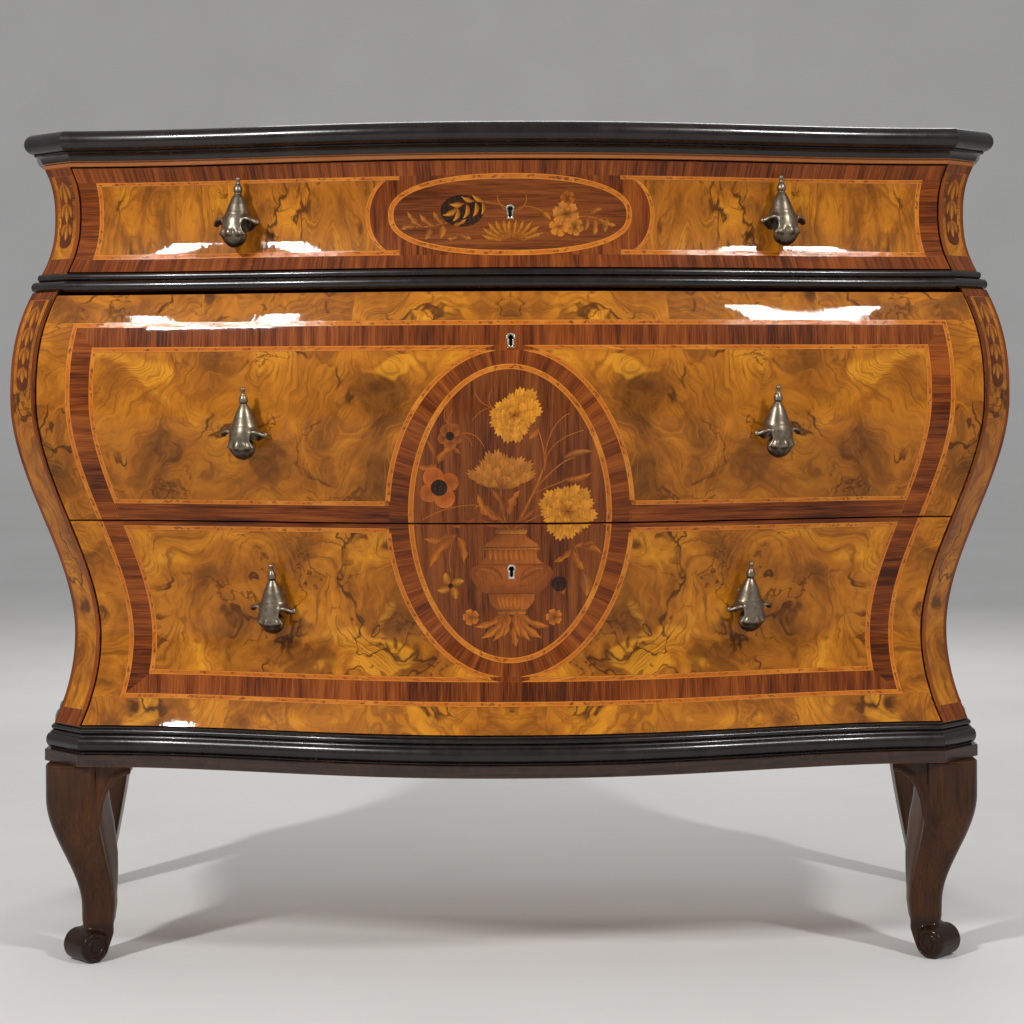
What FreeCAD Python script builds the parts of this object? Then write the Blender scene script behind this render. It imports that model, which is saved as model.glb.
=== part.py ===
import FreeCAD, Part
import math
import os

from FreeCAD import Matrix, Placement, Vector

# A bombe chest of three drawers on four cabriole legs. Millimetres, +Z up, front towards -Y.
# Every piece is worked out from the back plane, y = 0, and shifted to the centre of the depth at the end.

# Heights of the stages, from the floor up
LEG_HEIGHT = 240.0
BASE_FRAME_HEIGHT = 24.0
BOTTOM_BOARD_THICKNESS = 22.0
LOWER_BODY_HEIGHT = 514.0
WAIST_RAIL_THICKNESS = 22.0
UPPER_BODY_HEIGHT = 126.0
TOP_FRAME_HEIGHT = 20.0
TOP_PANEL_THICKNESS = 21.0

# Plan of the body at its pinch, where it is narrowest
OPENING_HALF = 491.5
CORNER_DEPTH = 430.0
CANT = 36.0
FRONT_BOW = 90.0
BOW_POWER = 1.12
SIDE_BOW = 26.0

# Swell of the bombe body, measured outwards from the pinch
SKIRT_SWELL = 21.0
PINCH_HEIGHT = 105.0
BELLY_HEIGHT = 388.0
BELLY_SWELL = 63.5
SHOULDER_SWELL = 41.0
SHOULDER_POWER = 2.5
COVE_FOOT_SWELL = 32.0
COVE_HEIGHT = 70.0
COVE_SWELL = 18.4
COVE_TOP_SWELL = 28.5
COVE_POWER = 2.4

# Swell of the flat cores that the three mouldings wrap
BASE_CORE = 13.0
WAIST_CORE = 25.0
TOP_CORE = 24.0

# Carcase boards
POST_RETURN = 20.0
REAR_POST_DEPTH = 40.0
SIDE_THICKNESS = 20.0
BACK_THICKNESS = 12.0
BACK_SETBACK = 4.0
FRAME_RAIL_WIDTH = 70.0
MIDDLE_RAIL_THICKNESS = 18.0
RAIL_BACK = 330.0
TENON_LENGTH = 10.0
TENON_WIDTH = 22.0
TENON_SETBACK = 4.0
RUNNER_WIDTH = 28.0
GUIDE_WIDTH = 9.0
GUIDE_HEIGHT = 14.0
GUIDE_FRONT = 350.0

# Mouldings: stand-off from the core, and share of the height
BASE_FASCIA_HEIGHT = 14.0
BASE_FASCIA_OUT = 20.0
BASE_GROOVE = 2.5
BASE_TORUS_HEIGHT = 17.0
BASE_TORUS_SEAT = 13.5
BASE_TORUS_PROUD = 5.0
BASE_BEAD_HEIGHT = 6.5
BASE_BEAD_SEAT = 9.5
BASE_BEAD_PROUD = 3.0
BASE_CAP_OUT = 9.0
WAIST_TORUS_HEIGHT = 13.0
WAIST_TORUS_SEAT = 13.5
WAIST_TORUS_PROUD = 6.0
WAIST_BEAD_SEAT = 9.0
WAIST_BEAD_PROUD = 3.5
TOP_STRIP_HEIGHT = 5.5
TOP_STRIP_OUT = 6.0
TOP_COVE_HEIGHT = 9.5
TOP_COVE_FOOT_OUT = 8.0
TOP_COVE_OUT = 17.0
TOP_FILLET_HEIGHT = 2.5
TOP_NOSE_SEAT = 16.5
TOP_NOSE_PROUD = 11.5
ARRIS = 0.25

# Drawers
BOTTOM_DRAWER_HEIGHT = 245.0
JOINT_GAP = 2.0
END_GAP = 2.5
SILL_GAP = 1.5
HEAD_GAP = 2.0
WAIST_GAP = 4.5
FRONT_THICKNESS = 22.0
BOX_CLEARANCE = 5.0
BOX_HEAD_ROOM = 9.0
RUN_CLEARANCE = 0.3
DRAWER_SIDE_THICKNESS = 12.0
DRAWER_BACK_THICKNESS = 10.0
DRAWER_BACK_DROP = 6.0
DRAWER_BOTTOM_THICKNESS = 6.0
DRAWER_BOTTOM_RAISE = 8.0
GROOVE_DEPTH = 5.0
HOUSING_DEPTH = 8.0
STOP_DEPTH = 16.0
STOP_HEIGHT = 40.0
STOP_WIDTH = 60.0

# Keyholes, each above the floor of its drawer's stage, locks and bolts
TOP_KEY_RISE = 69.0
MIDDLE_KEY_RISE = 212.0
BOTTOM_KEY_RISE = 192.0
KEYHOLE_RADIUS = 2.9
KEYHOLE_SLOT = 3.2
KEYHOLE_DROP = 9.5
LINER_WALL = 2.4
LINER_DEPTH = 6.0
LINER_PROUD = 0.4
LOCK_WIDTH = 56.0
LOCK_THICKNESS = 13.0
LOCK_BELOW_KEY = 18.0
LOCK_INLET = 2.0
KEY_PIN_RADIUS = 1.3
KEY_DEPTH = 8.0
BOLT_WIDTH = 24.0
BOLT_THICKNESS = 6.0
BOLT_LENGTH = 24.0
BOLT_TRAVEL = 9.0
BOLT_CLEARANCE = 0.3
MORTISE_CLEARANCE = 1.0

# Bell-flower pulls: places of the six, each above the floor of its drawer's stage, then their own sizes
TOP_PULL_X = 312.0
TOP_PULL_RISE = 63.0
MIDDLE_PULL_X = 299.0
MIDDLE_PULL_RISE = 113.0
BOTTOM_PULL_X = 272.0
BOTTOM_PULL_RISE = 154.0
PULL_STANDOFF = 17.0
FINIAL_TIP = 42.0
FINIAL_RADIUS = 3.0
COLLAR_HEIGHT = 30.0
COLLAR_RADIUS = 5.2
BELL_HEIGHT = 34.0
BELL_RADIUS = 14.0
NECK_SHARE = 0.6
BELL_WAIST_SHARE = 0.55
THROAT_SWELL = 0.6
THROAT_SHARE = 0.8
LOBE_RADIUS = 13.0
LOBE_HEIGHT = 18.0
TONGUE_OUT = 5.0
EAR_REACH = 26.0
EAR_ROOT_RADIUS = 9.0
EAR_TIP_RADIUS = 4.0
EAR_DROP = 10.0
EAR_ROOT_SHARE = 0.3
BOSS_RADIUS = 6.0
SCREW_RADIUS = 2.0
SCREW_HEAD_RADIUS = 5.0
SCREW_HEAD_HEIGHT = 3.0
SCREW_GRIP = 18.0
SCREW_IN_BOSS = 12.0
COUNTERBORE_RADIUS = 6.5

# Cabriole front legs and plain outswept rear legs
LEG_INSET = 11.0
KNEE_DROP = 40.0
KNEE_SIZE = 30.0
ANKLE_HEIGHT = 62.0
ANKLE_SIZE = 19.0
ANKLE_SWEEP = 35.0
LEG_SQUARENESS = 3.0
SCROLL_RADIUS = 19.0
SCROLL_WIDTH = 45.0
SCROLL_OUT = 20.0
SOLE_FLAT = 1.5
TOE_SIZE = 9.0
TOE_LIFT = 0.6
TOE_TIP = 1.5
HEEL_OUT = 2.7
HEEL_HEIGHT = 34.0
HEEL_TIP = 0.12
HEEL_DEPTH_SHARE = 0.92
HEEL_WIDTH_SHARE = 0.82
BEND_BACK_SHARE = 0.55
BEND_HEIGHT_SHARE = 0.92
BEND_TIP = 0.62
BEND_DEPTH_SHARE = 1.25
BEND_WIDTH_SHARE = 0.95
EAR_LENGTH = 70.0
EAR_HEIGHT = 56.0
EAR_LIP = 10.0
EAR_THICKNESS = 20.0
EAR_FORWARD = 12.0
REAR_LEG_SIZE = 20.0
REAR_FOOT_SIZE = 16.0
REAR_LEG_OUT = 7.5
REAR_LEG_SETBACK = 26.0
REAR_SWEEP = 36.0
REAR_SWEEP_POWER = 1.4
DOWEL_RADIUS = 8.0
DOWEL_SETBACK = 14.0
REAR_DOWEL_SETBACK = 6.0
DOWEL_IN_LEG = 35.0
DOWEL_IN_FRAME = 16.0

# Points and sections along the curves
FRONT_POINTS = 15
SIDE_POINTS = 9
LOWER_SECTIONS = 15
UPPER_SECTIONS = 7
DRAWER_SECTIONS = 9
SWELL_SAMPLES = 36
BEAD_SECTIONS = 7
LEG_SECTIONS = 9
LEG_POINTS = 16
LOBE_POINTS = 9

# Heights of the stages
Z_BOARD = LEG_HEIGHT + BASE_FRAME_HEIGHT
Z_BODY = Z_BOARD + BOTTOM_BOARD_THICKNESS
Z_WAIST = Z_BODY + LOWER_BODY_HEIGHT
Z_UPPER = Z_WAIST + WAIST_RAIL_THICKNESS
Z_TOP_FRAME = Z_UPPER + UPPER_BODY_HEIGHT
Z_PANEL = Z_TOP_FRAME + TOP_FRAME_HEIGHT
Z_TOP = Z_PANEL + TOP_PANEL_THICKNESS
Z_JOINT = Z_BODY + BOTTOM_DRAWER_HEIGHT
DEPTH = CORNER_DEPTH + BELLY_SWELL + FRONT_BOW

# Where the side panel starts behind the front post, and ends at the rear post
SIDE_FRONT = -(CORNER_DEPTH - CANT - POST_RETURN)
SIDE_REAR = -REAR_POST_DEPTH
BACK_FACE = -(BACK_SETBACK + BACK_THICKNESS)
DRAWER_REAR = BACK_FACE - STOP_DEPTH
MITRE = math.tan(math.pi / 8.0)
UP = Vector(0.0, 0.0, 1.0)
OUTWARD = Vector(0.0, -1.0, 0.0)
ACROSS = Vector(1.0, 0.0, 0.0)


def spread(low, high, count):
    """Evenly spaced values from low to high."""
    return [low + (high - low) * i / (count - 1) for i in range(count)]


def ease(t):
    """A smooth step from 0 to 1."""
    t = min(max(t, 0.0), 1.0)
    return t * t * (3.0 - 2.0 * t)


def swell(z):
    """How far the body stands out at height z."""
    if z <= Z_WAIST:
        rise = z - Z_BODY
        if rise < PINCH_HEIGHT:
            return SKIRT_SWELL * ((PINCH_HEIGHT - rise) / PINCH_HEIGHT) ** 2
        if rise < BELLY_HEIGHT:
            return BELLY_SWELL * ease((rise - PINCH_HEIGHT) / (BELLY_HEIGHT - PINCH_HEIGHT))
        share = (rise - BELLY_HEIGHT) / (LOWER_BODY_HEIGHT - BELLY_HEIGHT)
        return BELLY_SWELL - (BELLY_SWELL - SHOULDER_SWELL) * share ** SHOULDER_POWER
    rise = z - Z_UPPER
    if rise < COVE_HEIGHT:
        share = (COVE_HEIGHT - rise) / COVE_HEIGHT
        return COVE_SWELL + (COVE_FOOT_SWELL - COVE_SWELL) * min(share, 1.0) ** COVE_POWER
    share = (rise - COVE_HEIGHT) / (UPPER_BODY_HEIGHT - COVE_HEIGHT)
    return COVE_SWELL + (COVE_TOP_SWELL - COVE_SWELL) * share ** COVE_POWER


def front_y(x, out, half):
    """Depth of the bowed front at x, for a front that is half wide to each side."""
    share = min(abs(x) / half, 1.0)
    return -(CORNER_DEPTH + out + FRONT_BOW * 0.5 * (1.0 + math.cos(math.pi * share ** BOW_POWER)))


def side_x(y, out):
    """Width of the bowed side at depth y."""
    share = min(max((y - SIDE_FRONT) / (SIDE_REAR - SIDE_FRONT), 0.0), 1.0)
    return OPENING_HALF + CANT + out + SIDE_BOW * 0.5 * (1.0 - math.cos(2.0 * math.pi * share))


def line(start, end):
    """Straight edge between two points."""
    return Part.LineSegment(start, end).toShape()


def spline(points):
    """Smooth edge through the points."""
    curve = Part.BSplineCurve()
    curve.interpolate(points)
    return curve.toShape()


def polygon(points):
    """Closed wire through the corners."""
    return Part.makePolygon(points + [points[0]])


def front_curve(reach, out, half, z):
    """The bowed front line from -reach to reach at one height."""
    return spline([Vector(x, front_y(x, out, half), z) for x in spread(-reach, reach, FRONT_POINTS)])


def side_edges(out, z, start):
    """The side line, from a start depth back to the back plane, at one height."""
    x = OPENING_HALF + CANT + out
    bowed = [Vector(side_x(y, out), y, z) for y in spread(SIDE_FRONT, SIDE_REAR, SIDE_POINTS)]
    front_run = line(Vector(x, start, z), Vector(x, SIDE_FRONT, z))
    rear_run = line(Vector(x, SIDE_REAR, z), Vector(x, 0.0, z))
    return [front_run, spline(bowed), rear_run]


def corner_front(out, z):
    """Where the front meets the canted corner."""
    return Vector(OPENING_HALF + out, -(CORNER_DEPTH + out), z)


def corner_side(out, z):
    """Where the canted corner meets the side."""
    return Vector(OPENING_HALF + CANT + out, -(CORNER_DEPTH + out - CANT), z)


def mirrored(shape):
    """The left-hand twin of a right-hand shape."""
    return shape.mirror(Vector(0.0, 0.0, 0.0), ACROSS)


def block(low, high):
    """Box between two corners."""
    size = high - low
    return Part.makeBox(size.x, size.y, size.z, low)


def loft(wires, ruled=False):
    """Solid through closed wires."""
    return Part.makeLoft(wires, True, ruled)


def plan_wire(out, z):
    """Outline of the whole body in plan."""
    half = OPENING_HALF + out
    right = side_edges(out, z, corner_side(out, z).y)
    left = [mirrored(edge) for edge in right]
    front = front_curve(half, out, half, z)
    cant = line(corner_front(out, z), corner_side(out, z))
    rear = line(Vector(half + CANT, 0.0, z), Vector(-half - CANT, 0.0, z))
    edges = [front, cant] + right + [rear] + left + [mirrored(cant)]
    return Part.Wire(Part.__sortEdges__(edges))


def plate(out, low, high):
    """Board with the body's plan outline."""
    return Part.Face(plan_wire(out, low)).extrude(UP * (high - low))


def stack(section):
    """Lower body, core behind the waist moulding and upper body of one upright, as one solid."""
    lower = loft([section(z, swell(z)) for z in spread(Z_BODY, Z_WAIST, LOWER_SECTIONS)])
    core = loft([section(Z_WAIST, WAIST_CORE), section(Z_UPPER, WAIST_CORE)], True)
    heights = spread(Z_UPPER, Z_TOP_FRAME, UPPER_SECTIONS)
    upper = loft([section(z, cove_swell(z)) for z in heights])
    return lower.fuse([core, upper])


def cove_swell(z):
    """Swell of the upper body, also at its very foot."""
    return COVE_FOOT_SWELL if z <= Z_UPPER else swell(z)


def front_post():
    """Right front post with its canted face."""
    def section(z, out):
        rear = SIDE_FRONT
        front = corner_front(out, z)
        side = corner_side(out, z)
        return polygon([front, side, Vector(side.x, rear, z), Vector(front.x, rear, z)])
    return stack(section)


def rear_post():
    """Right rear post."""
    def section(z, out):
        inner = OPENING_HALF + out
        outer = inner + CANT
        return polygon([Vector(inner, SIDE_REAR, z), Vector(outer, SIDE_REAR, z),
                        Vector(outer, 0.0, z), Vector(inner, 0.0, z)])
    return stack(section)


def side_panel():
    """Right bombe side between the posts."""
    def section(z, out):
        depths = spread(SIDE_FRONT, SIDE_REAR, SIDE_POINTS)
        outer = [Vector(side_x(y, out), y, z) for y in depths]
        inner = [point - ACROSS * SIDE_THICKNESS for point in outer]
        return Part.Wire([spline(outer), line(outer[-1], inner[-1]),
                          spline(inner[::-1]), line(inner[0], outer[0])])
    return stack(section)


def back_panel():
    """Back board between the rear posts."""
    def section(z, out):
        half = OPENING_HALF + out
        rear = -BACK_SETBACK
        return polygon([Vector(-half, BACK_FACE, z), Vector(half, BACK_FACE, z),
                        Vector(half, rear, z), Vector(-half, rear, z)])
    return stack(section)


def frame(out, low, high):
    """Four rails under the body's plan outline: front, rear, right and left."""
    ring = plate(out, low, high)
    reach = OPENING_HALF + CANT + out + SIDE_BOW
    front = -(CORNER_DEPTH - FRAME_RAIL_WIDTH)
    rear = -FRAME_RAIL_WIDTH
    inner = reach - SIDE_BOW - FRAME_RAIL_WIDTH
    far = -DEPTH
    front_rail = ring.common(block(Vector(-reach, far, low), Vector(reach, front, high)))
    rear_rail = ring.common(block(Vector(-reach, rear, low), Vector(reach, 0.0, high)))
    right_rail = ring.common(block(Vector(inner, front, low), Vector(reach, rear, high)))
    return [front_rail, rear_rail, right_rail, mirrored(right_rail)]


def rail(out, half, low, high, length):
    """Bow-fronted rail across the opening, with a tenon at each end."""
    front = front_curve(half, out, OPENING_HALF + out, low)
    rear = -RAIL_BACK
    start = front.valueAt(front.FirstParameter)
    end = front.valueAt(front.LastParameter)
    corners = [Vector(half, rear, low), Vector(-half, rear, low)]
    wire = Part.Wire([front, line(end, corners[0]), line(corners[0], corners[1]), line(corners[1], start)])
    body = Part.Face(wire).extrude(UP * (high - low))
    tenon = block(Vector(half, SIDE_FRONT - TENON_SETBACK - TENON_WIDTH, low + TENON_SETBACK),
                  Vector(half + length, SIDE_FRONT - TENON_SETBACK, high - TENON_SETBACK))
    return body.fuse([tenon, mirrored(tenon)])


def fillet(low, high, out):
    """Flat run of a moulding: (stand-off, height) at its two ends."""
    return [(out, low), (out, high)]


def bead(low, high, seat, proud):
    """Rounded run of a moulding, from its seat out and back."""
    turns = spread(0.0, math.pi, BEAD_SECTIONS)
    middle = 0.5 * (low + high)
    return [(seat + proud * math.sin(turn), middle - (high - low) * 0.5 * math.cos(turn)) for turn in turns]


def hollow(low, high, foot, head):
    """Cove run of a moulding, from its foot out to its head."""
    turns = spread(0.0, math.pi / 2.0, BEAD_SECTIONS)
    return [(head - (head - foot) * math.cos(turn), low + (high - low) * math.sin(turn)) for turn in turns]


def moulding_front(core, runs, base):
    """Front length of a moulding, mitred at both ends."""
    def section(out, rise):
        z = base + rise
        half = OPENING_HALF + core
        reach = half + out * MITRE
        outer = front_curve(reach, core + out, reach, z)
        inner = front_curve(half, core, half, z)
        right = line(Vector(reach, -(CORNER_DEPTH + core + out), z), corner_front(core, z))
        return Part.Wire(Part.__sortEdges__([outer, right, inner, mirrored(right)]))
    return join_runs(section, runs)


def moulding_return(core, runs, base):
    """Right length of a moulding, mitred round the canted corner and square at the back of the side."""
    def section(out, rise):
        z = base + rise
        front = corner_front(core, z)
        side = corner_side(core, z)
        front_out = front + Vector(out * MITRE, -out, 0.0)
        side_out = side + Vector(out, -out * MITRE, 0.0)
        cant = [line(front, front_out), line(front_out, side_out), line(side, front)]
        outer = side_edges(core + out, z, side_out.y)
        inner = side_edges(core, z, side.y)
        square = line(Vector(side.x, 0.0, z), Vector(side_out.x, 0.0, z))
        return Part.Wire(Part.__sortEdges__(cant + outer + [square] + inner))
    return join_runs(section, runs)


def join_runs(section, runs):
    """One solid from the runs of a moulding, bottom to top, each step a little sloped."""
    profile = []
    for run in runs:
        for out, rise in run:
            if profile and rise < profile[-1][1] + ARRIS:
                rise = profile[-1][1] + ARRIS
            profile.append((out, rise))
    profile[-1] = runs[-1][-1]
    return loft([section(out, rise) for out, rise in profile], True)


def moulding(name, core, runs, base):
    """The three nodes of a moulding: front, and each corner with its side."""
    right = moulding_return(core, runs, base)
    return {name + "_front": [moulding_front(core, runs, base)],
            name + "_right": [right],
            name + "_left": [mirrored(right)]}


def base_runs():
    """Base moulding: fascia, groove, torus, bead and cap."""
    groove = BASE_FASCIA_HEIGHT + BASE_GROOVE
    torus = groove + BASE_TORUS_HEIGHT
    cap = BASE_FRAME_HEIGHT + BOTTOM_BOARD_THICKNESS
    bead_foot = cap - BASE_GROOVE - BASE_BEAD_HEIGHT
    bead_head = cap - BASE_GROOVE
    return [fillet(0.0, BASE_FASCIA_HEIGHT, BASE_FASCIA_OUT),
            fillet(BASE_FASCIA_HEIGHT, groove, BASE_TORUS_SEAT),
            bead(groove, torus, BASE_TORUS_SEAT, BASE_TORUS_PROUD),
            hollow(torus, bead_foot, BASE_TORUS_SEAT, BASE_BEAD_SEAT),
            bead(bead_foot, bead_head, BASE_BEAD_SEAT, BASE_BEAD_PROUD),
            fillet(bead_head, cap, BASE_CAP_OUT)]


def waist_runs():
    """Waist moulding: a torus with a bead on it."""
    return [bead(0.0, WAIST_TORUS_HEIGHT, WAIST_TORUS_SEAT, WAIST_TORUS_PROUD),
            bead(WAIST_TORUS_HEIGHT, WAIST_RAIL_THICKNESS, WAIST_BEAD_SEAT, WAIST_BEAD_PROUD)]


def top_runs():
    """Top moulding: strip, cove, fillet and bullnose."""
    cove = TOP_STRIP_HEIGHT + TOP_COVE_HEIGHT
    nose = cove + TOP_FILLET_HEIGHT
    head = TOP_FRAME_HEIGHT + TOP_PANEL_THICKNESS
    return [fillet(0.0, TOP_STRIP_HEIGHT, TOP_STRIP_OUT),
            hollow(TOP_STRIP_HEIGHT, cove, TOP_COVE_FOOT_OUT, TOP_COVE_OUT),
            fillet(cove, nose, TOP_COVE_OUT),
            bead(nose, head, TOP_NOSE_SEAT, TOP_NOSE_PROUD)]


def leg_centre(z):
    """How far the leg's middle stands from its knee, along the diagonal."""
    knee = LEG_HEIGHT - KNEE_DROP
    return -ANKLE_SWEEP * ease((knee - z) / (knee - ANKLE_HEIGHT))


def leg_size(z):
    """Half the leg's thickness at height z."""
    knee = LEG_HEIGHT - KNEE_DROP
    return KNEE_SIZE + (ANKLE_SIZE - KNEE_SIZE) * ease((knee - z) / (knee - ANKLE_HEIGHT))


def leg_section(centre, z, tilt, depth, width):
    """Rounded square across the leg, tipped about its own width."""
    points = []
    for turn in spread(0.0, 2.0 * math.pi, LEG_POINTS + 1)[:-1]:
        cosine = math.cos(turn)
        sine = math.sin(turn)
        size = (abs(cosine) ** LEG_SQUARENESS + abs(sine) ** LEG_SQUARENESS) ** (-1.0 / LEG_SQUARENESS)
        along = depth * size * cosine
        across = width * size * sine
        points.append(Vector(centre + along * math.cos(tilt), across, z + along * math.sin(tilt)))
    curve = Part.BSplineCurve()
    curve.interpolate(Points=points, PeriodicFlag=True)
    return Part.Wire([curve.toShape()])


def leg_ear(side):
    """Bracket under the frame, with a hollow lower edge, to one side of the knee."""
    bend_share = 1.0 - math.sqrt(0.5)
    lip = LEG_HEIGHT - EAR_LIP
    foot = lip - EAR_HEIGHT
    heart = Vector(0.0, 0.0, LEG_HEIGHT)
    tip = Vector(EAR_LENGTH, 0.0, LEG_HEIGHT)
    under_tip = Vector(EAR_LENGTH, 0.0, lip)
    bend = Vector(KNEE_SIZE + (EAR_LENGTH - KNEE_SIZE) * bend_share, 0.0, lip - EAR_HEIGHT * bend_share)
    root = Vector(KNEE_SIZE, 0.0, foot)
    heart_foot = Vector(0.0, 0.0, foot)
    edges = [line(heart, tip), line(tip, under_tip), Part.Arc(under_tip, bend, root).toShape(),
             line(root, heart_foot), line(heart_foot, heart)]
    ear = Part.Face(Part.Wire(edges)).extrude(Vector(0.0, EAR_THICKNESS, 0.0))
    ear.translate(Vector(0.0, EAR_FORWARD * side - EAR_THICKNESS * 0.5, 0.0))
    ear.rotate(Vector(0.0, 0.0, 0.0), UP, 180.0 + 45.0 * side)
    return ear


def front_leg():
    """Cabriole leg with knee brackets and a scroll foot, standing out along +X."""
    shaft = loft([leg_section(leg_centre(z), z, 0.0, leg_size(z), leg_size(z))
                  for z in spread(LEG_HEIGHT, ANKLE_HEIGHT, LEG_SECTIONS)])
    scroll_at = SCROLL_OUT - ANKLE_SWEEP
    half = 0.5 * SCROLL_WIDTH
    ankle = leg_section(-ANKLE_SWEEP, ANKLE_HEIGHT, 0.0, ANKLE_SIZE, ANKLE_SIZE)
    heel = leg_section(HEEL_OUT - ANKLE_SWEEP, HEEL_HEIGHT, HEEL_TIP,
                       ANKLE_SIZE * HEEL_DEPTH_SHARE, half * HEEL_WIDTH_SHARE)
    bend_at = scroll_at - SCROLL_RADIUS * BEND_BACK_SHARE
    bend = leg_section(bend_at, SCROLL_RADIUS * BEND_HEIGHT_SHARE, BEND_TIP,
                       TOE_SIZE * BEND_DEPTH_SHARE, half * BEND_WIDTH_SHARE)
    toe = leg_section(scroll_at, TOE_SIZE + TOE_LIFT, TOE_TIP, TOE_SIZE, half)
    foot = loft([ankle, heel, bend, toe])
    scroll_end = Vector(scroll_at, -half, SCROLL_RADIUS - SOLE_FLAT)
    scroll = Part.makeCylinder(SCROLL_RADIUS, SCROLL_WIDTH, scroll_end, -OUTWARD)
    below = block(Vector(-LEG_HEIGHT, -LEG_HEIGHT, -LEG_HEIGHT), Vector(LEG_HEIGHT, LEG_HEIGHT, 0.0))
    return shaft.fuse([foot, scroll, leg_ear(1), leg_ear(-1)]).cut(below)


def rear_leg():
    """Plain squared leg that sweeps outwards along +X to its foot."""
    sections = []
    for z in spread(LEG_HEIGHT, 0.0, LEG_SECTIONS):
        share = (LEG_HEIGHT - z) / LEG_HEIGHT
        size = REAR_LEG_SIZE + (REAR_FOOT_SIZE - REAR_LEG_SIZE) * share
        sections.append(leg_section(REAR_SWEEP * share ** REAR_SWEEP_POWER, z, 0.0, size, size))
    return loft(sections)


def leg_dowel(setback):
    """Dowel that holds a leg under the frame."""
    foot = Vector(-setback, 0.0, LEG_HEIGHT - DOWEL_IN_LEG)
    return Part.makeCylinder(DOWEL_RADIUS, DOWEL_IN_LEG + DOWEL_IN_FRAME, foot)


def leg_places():
    """Places of the right-hand legs, with the angle each one stands out at."""
    corner = (corner_front(SKIRT_SWELL, 0.0) + corner_side(SKIRT_SWELL, 0.0)) * 0.5
    inset = LEG_INSET * math.sqrt(0.5)
    front = corner + Vector(-inset, inset, 0.0)
    rear = Vector(OPENING_HALF + CANT + REAR_LEG_OUT, -REAR_LEG_SETBACK, 0.0)
    return {"front": (front, -45.0), "rear": (rear, 0.0)}


def placed(shape, place):
    """Copy of a leg piece turned and moved to its corner."""
    spot, angle = place
    copy = shape.copy()
    copy.rotate(Vector(0.0, 0.0, 0.0), UP, angle)
    copy.translate(spot)
    return copy


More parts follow.
